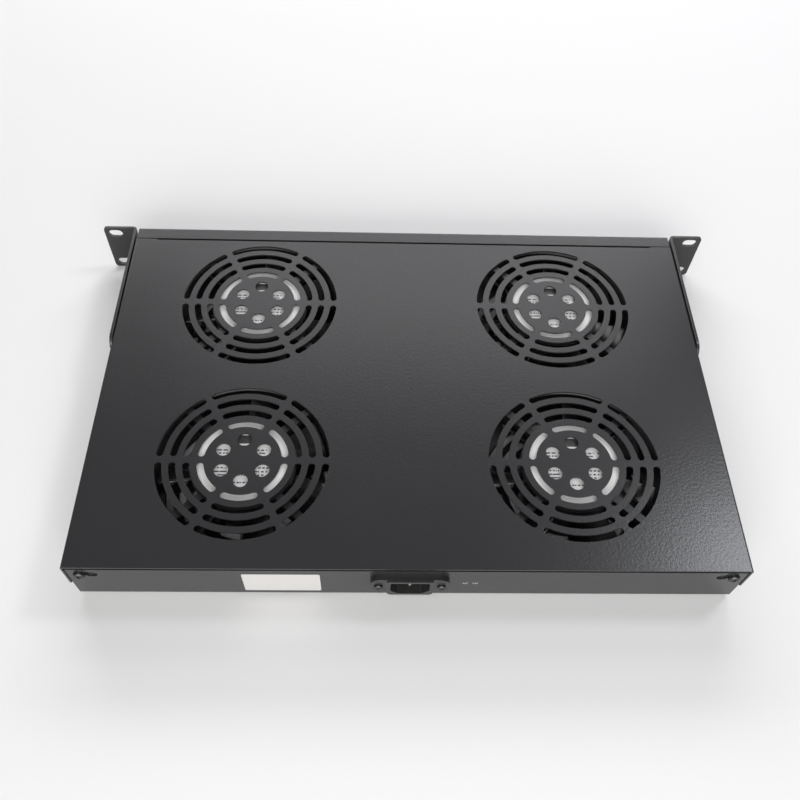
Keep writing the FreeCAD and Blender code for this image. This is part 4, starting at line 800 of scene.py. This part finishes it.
class FANTRAY_OT_case(Operator):
    """Rounds the cut edges of the tray, the cover and its back tabs, and coats them"""

    bl_idname = "fantray.case"
    bl_label = "Case"

    def execute(self, context):
        sizes = context.scene.fan_tray_sizes
        for node in ("base_tray", "top_cover"):
            rounded_node(node, sizes.sheet_edge, "powder_coat", "coated_" + node, SHEET_STRIPS)
        rounded_node("cover_back_tabs", sizes.sheet_edge, "powder_coat", "coated_cover_back_tabs")
        return {"FINISHED"}


class FANTRAY_OT_ears(Operator):
    """Rounds and coats the two ear brackets"""

    bl_idname = "fantray.ears"
    bl_label = "Ear brackets"

    def execute(self, context):
        sizes = context.scene.fan_tray_sizes
        for side in ("left", "right"):
            rounded_node(
                "ear_bracket_" + side, sizes.sheet_edge, "powder_coat", "coated_ear_" + side)
        return {"FINISHED"}


class FANTRAY_OT_fan_frames(Operator):
    """Rounds and paints the cast frames of the fans"""

    bl_idname = "fantray.fan_frames"
    bl_label = "Fan frames"

    def execute(self, context):
        sizes = context.scene.fan_tray_sizes
        rounded_family("fan_frame", sizes.casting_edge, "painted_casting", "fan_casting")
        return {"FINISHED"}


class FANTRAY_OT_impellers(Operator):
    """Rounds the blades and hubs of the impellers"""

    bl_idname = "fantray.impellers"
    bl_label = "Impellers"

    def execute(self, context):
        sizes = context.scene.fan_tray_sizes
        rounded_family("fan_impeller", sizes.blade_edge, "impeller_plastic", "fan_blades")
        return {"FINISHED"}


class FANTRAY_OT_hub_labels(Operator):
    """Puts a round foil label on the hub of each fan"""

    bl_idname = "fantray.hub_labels"
    bl_label = "Hub labels"

    def execute(self, context):
        for fan in FANS:
            hub_label(fan)
        return {"FINISHED"}


def hub_label(fan):
    """A thin disc, which remembers each point's place about the hub for its print."""
    node = "fan_label_" + fan
    low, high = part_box(node)
    centre = (low + high) / 2
    radius = (high.x - low.x) / 2
    work = bmesh.new()
    bmesh.ops.create_circle(work, cap_ends=True, segments=FOIL_SIDES, radius=radius)
    grown = bmesh.ops.extrude_face_region(work, geom=work.faces[:])
    raised = [item for item in grown["geom"] if isinstance(item, bmesh.types.BMVert)]
    bmesh.ops.translate(work, verts=raised, vec=(0, 0, high.z - low.z))
    bmesh.ops.recalc_face_normals(work, faces=work.faces[:])
    bmesh.ops.translate(work, verts=work.verts[:], vec=(centre.x, centre.y, low.z))
    rim = [edge for edge in sharp_edges(work) if edge.verts[0].co.z > centre.z]
    round_edges(work, rim, FOIL_RIM, FOIL_RIM_STEPS)
    piece = make_piece(
        work, "hub_foil_" + fan, body_of(node), "hub_label_foil", [node])
    places = piece.data.attributes.new("hub_place", "FLOAT_VECTOR", "POINT")
    for vertex, place in zip(piece.data.vertices, places.data):
        place.vector = vertex.co - centre


class FANTRAY_OT_fan_inners(Operator):
    """Gives the shafts, bearings and stators of the fans their metals"""

    bl_idname = "fantray.fan_inners"
    bl_label = "Inside of the fans"

    def execute(self, context):
        for fan in FANS:
            coat_node("fan_shaft_" + fan, "turned_steel")
            coat_node("fan_bearings_" + fan, "turned_steel")
            coat_node("fan_stator_" + fan, "windings")
        return {"FINISHED"}


class FANTRAY_OT_inlet(Operator):
    """Rounds the moulded housing of the mains inlet and plates its pins"""

    bl_idname = "fantray.inlet"
    bl_label = "Mains inlet"

    def execute(self, context):
        sizes = context.scene.fan_tray_sizes
        rounded_node("inlet_housing", sizes.moulding_edge, "inlet_plastic", "inlet_moulding")
        rounded_node("inlet_pins", sizes.small_edge, "nickel_plate", "inlet_blades")
        return {"FINISHED"}


class FANTRAY_OT_switch(Operator):
    """Rounds the switch and its rocker"""

    bl_idname = "fantray.switch"
    bl_label = "Rocker switch"

    def execute(self, context):
        sizes = context.scene.fan_tray_sizes
        rounded_node("switch_housing", sizes.moulding_edge, "inlet_plastic", "switch_moulding")
        rounded_node(
            "switch_rocker", sizes.moulding_edge, "inlet_plastic", "switch_rocker_moulding")
        rounded_node("switch_tabs", sizes.small_edge, "nickel_plate", "switch_blades")
        rocker_marks(sizes)
        return {"FINISHED"}


def rocker_marks(sizes):
    """The bar for on and the ring for off, printed on the two slopes of the rocker."""
    rocker = merged_copy("switch_rocker")
    slopes = sorted(rocker.faces, key=lambda face: face.normal.y * face.calc_area())[:2]
    slopes.sort(key=lambda face: face.calc_center_median().x)
    work = bmesh.new()
    for slope, ring in zip(slopes, (False, True)):
        before = set(work.verts)
        if ring:
            rims = []
            for radius in (sizes.mark_ring - sizes.mark_line, sizes.mark_ring):
                circle = bmesh.ops.create_circle(work, segments=MARK_RING_SIDES, radius=radius)
                rims += circle["verts"]
            edges = list({edge for vertex in rims for edge in vertex.link_edges})
            bmesh.ops.bridge_loops(work, edges=edges)
        else:
            stroke(work, (0, -sizes.mark_ring), (0, sizes.mark_ring), sizes.mark_line)
        normal = slope.normal.copy()
        up = Vector((0, 0, 1))
        turn = Matrix((up.cross(normal), up, normal)).transposed().to_4x4()
        place = Matrix.Translation(slope.calc_center_median() + normal * sizes.print_height) @ turn
        added = [vertex for vertex in work.verts if vertex not in before]
        bmesh.ops.transform(work, matrix=place, verts=added)
    for face in work.faces:
        face.normal_update()
        if face.normal.y > 0:
            face.normal_flip()
    rocker.free()
    make_piece(work, "rocker_marks", body_of("switch_rocker"), "switch_mark")


class FANTRAY_OT_fasteners(Operator):
    """Rounds and plates the screws and nuts"""

    bl_idname = "fantray.fasteners"
    bl_label = "Fasteners"

    def execute(self, context):
        sizes = context.scene.fan_tray_sizes
        for node in ("bracket_screws", "back_screws", "inlet_screws"):
            rounded_node(node, sizes.small_edge, "blackened_plate", "blackened_" + node)
        for node in ("fan_screws", "bracket_nuts", "back_nuts", "inlet_nuts", "fan_nuts",
                     "earth_nut", "terminal_screws", "block_fixing_screws"):
            rounded_node(node, sizes.small_edge, "zinc_plate", "plated_" + node)
        coat_node("earth_stud", "zinc_plate")
        return {"FINISHED"}


class FANTRAY_OT_wiring(Operator):
    """Gives the leads, their sleeves, clips and terminals their colours"""

    bl_idname = "fantray.wiring"
    bl_label = "Wiring"

    def execute(self, context):
        sizes = context.scene.fan_tray_sizes
        for fan in FANS:
            coat_node("fan_lead_" + fan, "black_insulation")
        coat_node("live_lead", "brown_insulation")
        coat_node("switched_live_lead", "brown_insulation")
        coat_node("neutral_lead", "blue_insulation")
        coat_node("earth_lead", "earth_insulation")
        rounded_node("push_on_sleeves", sizes.moulding_edge, "sleeve_vinyl", "vinyl_sleeves")
        rounded_node("cable_clips", sizes.moulding_edge, "nylon", "nylon_clips")
        rounded_node("terminal_block", sizes.moulding_edge, "nylon", "nylon_terminal_block")
        rounded_node("earth_ring", sizes.small_edge, "nickel_plate", "plated_earth_ring")
        return {"FINISHED"}


class FANTRAY_OT_rating_label(Operator):
    """Puts the bare rating label on the back panel"""

    bl_idname = "fantray.rating_label"
    bl_label = "Rating label"

    def execute(self, context):
        sizes = context.scene.fan_tray_sizes
        low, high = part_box("rating_label")
        work = bmesh.new()
        bmesh.ops.create_cube(work, size=1.0)
        bmesh.ops.scale(work, verts=work.verts[:], vec=high - low)
        bmesh.ops.translate(work, verts=work.verts[:], vec=(low + high) / 2)
        corners = [edge for edge in work.edges
                   if abs(edge.verts[0].co.y - edge.verts[1].co.y) > MERGE]
        round_edges(work, corners, sizes.label_corner, LABEL_CORNER_STEPS)
        front = [edge for edge in sharp_edges(work)
                 if min(vertex.co.y for vertex in edge.verts) > high.y - MERGE]
        round_edges(work, front, LABEL_RIM, 1)
        make_piece(work, "bare_label", body_of("rating_label"),
                   "label_paper", ["rating_label"])
        return {"FINISHED"}


# The strokes of the letters, in shares of their width and height.
LETTERS = {
    "A": [((0, 0), (0.5, 1)), ((0.5, 1), (1, 0)), ((0.2, 0.35), (0.8, 0.35))],
    "C": [((1, 1), (0, 1)), ((0, 1), (0, 0)), ((0, 0), (1, 0))],
    "I": [((0.5, 0), (0.5, 1))],
    "N": [((0, 0), (0, 1)), ((0, 1), (1, 0)), ((1, 0), (1, 1))],
}


class FANTRAY_OT_inlet_mark(Operator):
    """Prints the plain mark for the mains input beside the inlet"""

    bl_idname = "fantray.inlet_mark"
    bl_label = "Inlet mark"

    def execute(self, context):
        sizes = context.scene.fan_tray_sizes
        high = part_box("base_tray")[1]
        height = sizes.letter_height
        work = bmesh.new()
        start = 0.0
        for letter in sizes.inlet_mark:
            for low_end, high_end in LETTERS.get(letter, ()):
                ends = [(start + across * height * LETTER_WIDTH, up * height)
                        for across, up in (low_end, high_end)]
                stroke(work, *ends, sizes.letter_line)
            start += height * LETTER_PITCH
        turn = Matrix(((-1, 0, 0), (0, 0, 1), (0, 1, 0))).to_4x4()
        place = Vector((sizes.inlet_mark_x, high.y + sizes.print_height, sizes.inlet_mark_z))
        bmesh.ops.transform(work, matrix=Matrix.Translation(place) @ turn, verts=work.verts[:])
        for face in work.faces:
            face.normal_update()
            if face.normal.y < 0:
                face.normal_flip()
        make_piece(work, "inlet_mark", "tray", "panel_print")
        return {"FINISHED"}


class FANTRAY_OT_stage(Operator):
    """Sets the camera, the pale floor and the soft lamps"""

    bl_idname = "fantray.stage"
    bl_label = "Stage"

    def execute(self, context):
        stage = context.scene.fan_tray_stage
        make_camera(stage)
        make_floor(stage)
        make_world(stage)
        make_lamps(stage)
        context.scene.view_settings.view_transform = "Standard"
        return {"FINISHED"}


def make_camera(stage):
    """Looks down on the object from over its mains inlet."""
    look = Vector((
        math.sin(stage.azimuth) * math.cos(stage.elevation),
        -math.cos(stage.azimuth) * math.cos(stage.elevation),
        -math.sin(stage.elevation)))
    turn = look.to_track_quat("-Z", "Y").to_matrix() @ Matrix.Rotation(-stage.roll, 3, "Z")
    data = bpy.data.cameras.new("view")
    data.sensor_width = SENSOR_WIDTH
    data.lens = stage.lens
    data.clip_start = NEAREST_SEEN
    camera = bpy.data.objects.new("view", data)
    camera.matrix_world = Matrix.Translation(stage.place) @ turn.to_4x4()
    bpy.context.scene.collection.objects.link(camera)
    bpy.context.scene.camera = camera


def make_floor(stage):
    """A pale floor just under the object, out to where the pale backdrop takes over."""
    low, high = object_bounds()
    work = bmesh.new()
    bmesh.ops.create_grid(work, x_segments=1, y_segments=1, size=FLOOR_REACH)
    middle = (0, (low.y + high.y) / 2, low.z - FLOOR_GAP)
    bmesh.ops.translate(work, verts=work.verts[:], vec=middle)
    mesh = bpy.data.meshes.new("floor")
    work.to_mesh(mesh)
    work.free()
    floor = bpy.data.objects.new("floor", mesh)
    bpy.context.scene.collection.objects.link(floor)
    recipe = Recipe("floor")
    recipe.set(
        base_color=stage.floor, roughness=FLOOR_ROUGHNESS, specular_ior_level=FLOOR_SPECULAR)
    mesh.materials.append(recipe.material)
    floor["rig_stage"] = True


def make_world(stage):
    """Even light, and a pale space that shows to the camera and in reflections."""
    world = bpy.data.worlds.new("even_light")
    world.use_nodes = True
    background = world.node_tree.nodes["Background"]
    background.inputs["Color"].default_value = (1.0, 1.0, 1.0, 1.0)
    tree = Tree(world.node_tree)
    path = tree.node("ShaderNodeLightPath").outputs
    mirrored = tree.maths("MAXIMUM", path["Is Glossy Ray"], path["Is Transmission Ray"])
    seen = tree.maths("MULTIPLY_ADD", mirrored, stage.sheen, stage.world)
    shown = tree.maths("MULTIPLY_ADD", path["Is Camera Ray"], stage.backdrop, seen)
    tree.join(shown, background.inputs["Strength"])
    bpy.context.scene.world = world


# Each lamp's name, place, width and height, and tint.
LAMPS = (
    ("key", (-0.86, -0.24, 1.30), (0.3, 0.3), (0.93, 0.96, 1.0)),
    ("rake", (-0.25, -1.55, 0.95), (1.7, 0.45), (1.0, 0.98, 1.0)),
    ("high", (-0.1, -1.2, 1.5), (1.4, 0.4), (1.0, 0.98, 1.0)),
    ("side", (0.9, -1.3, 0.9), (0.6, 0.45), (1.0, 0.98, 0.98)),
    ("back", (0.1, 2.2, 1.0), (2.6, 1.2), (1.0, 0.99, 0.98)),
    ("top", (0.15, 0.95, 1.6), (1.0, 0.6), (1.0, 1.0, 1.0)),
)


def make_lamps(stage):
    """Soft lamps, all turned to the middle of the object."""
    low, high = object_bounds()
    centre = (low + high) / 2
    for name, place, size, tint in LAMPS:
        data = bpy.data.lights.new(name, "AREA")
        data.color = tint
        data.shape = "RECTANGLE"
        data.size, data.size_y = size
        data.energy = getattr(stage, name)
        lamp = bpy.data.objects.new(name, data)
        aim = (centre - Vector(place)).to_track_quat("-Z", "Y").to_matrix().to_4x4()
        lamp.matrix_world = Matrix.Translation(place) @ aim
        bpy.context.scene.collection.objects.link(lamp)


class FANTRAY_PT_panel(Panel):
    """Lists the steps that dress the fan tray"""

    bl_idname = "FANTRAY_PT_panel"
    bl_label = "Fan tray"
    bl_space_type = "VIEW_3D"
    bl_region_type = "UI"
    bl_category = "Fan tray"

    def draw(self, context):
        for step in STEPS:
            self.layout.operator(step.bl_idname)
        for settings in (context.scene.fan_tray_sizes, context.scene.fan_tray_colours,
                         context.scene.fan_tray_stage):
            for name in settings.__annotations__:
                self.layout.prop(settings, name)


STEPS = (
    FANTRAY_OT_case,
    FANTRAY_OT_ears,
    FANTRAY_OT_fan_frames,
    FANTRAY_OT_impellers,
    FANTRAY_OT_hub_labels,
    FANTRAY_OT_fan_inners,
    FANTRAY_OT_inlet,
    FANTRAY_OT_switch,
    FANTRAY_OT_fasteners,
    FANTRAY_OT_wiring,
    FANTRAY_OT_rating_label,
    FANTRAY_OT_inlet_mark,
    FANTRAY_OT_stage,
)
SETTINGS = (
    ("fan_tray_sizes", FanTraySizes),
    ("fan_tray_colours", FanTrayColours),
    ("fan_tray_stage", FanTrayStage),
)


def register():
    for name, settings in SETTINGS:
        bpy.utils.register_class(settings)
        setattr(bpy.types.Scene, name, PointerProperty(type=settings))
    for step in STEPS:
        bpy.utils.register_class(step)
    bpy.utils.register_class(FANTRAY_PT_panel)


def unregister():
    bpy.utils.unregister_class(FANTRAY_PT_panel)
    for step in reversed(STEPS):
        bpy.utils.unregister_class(step)
    for name, settings in reversed(SETTINGS):
        delattr(bpy.types.Scene, name)
        bpy.utils.unregister_class(settings)


def main():
    register()
    for step in STEPS:
        family, name = step.bl_idname.split(".")
        getattr(getattr(bpy.ops, family), name)()


if __name__ == "__main__":
    main()
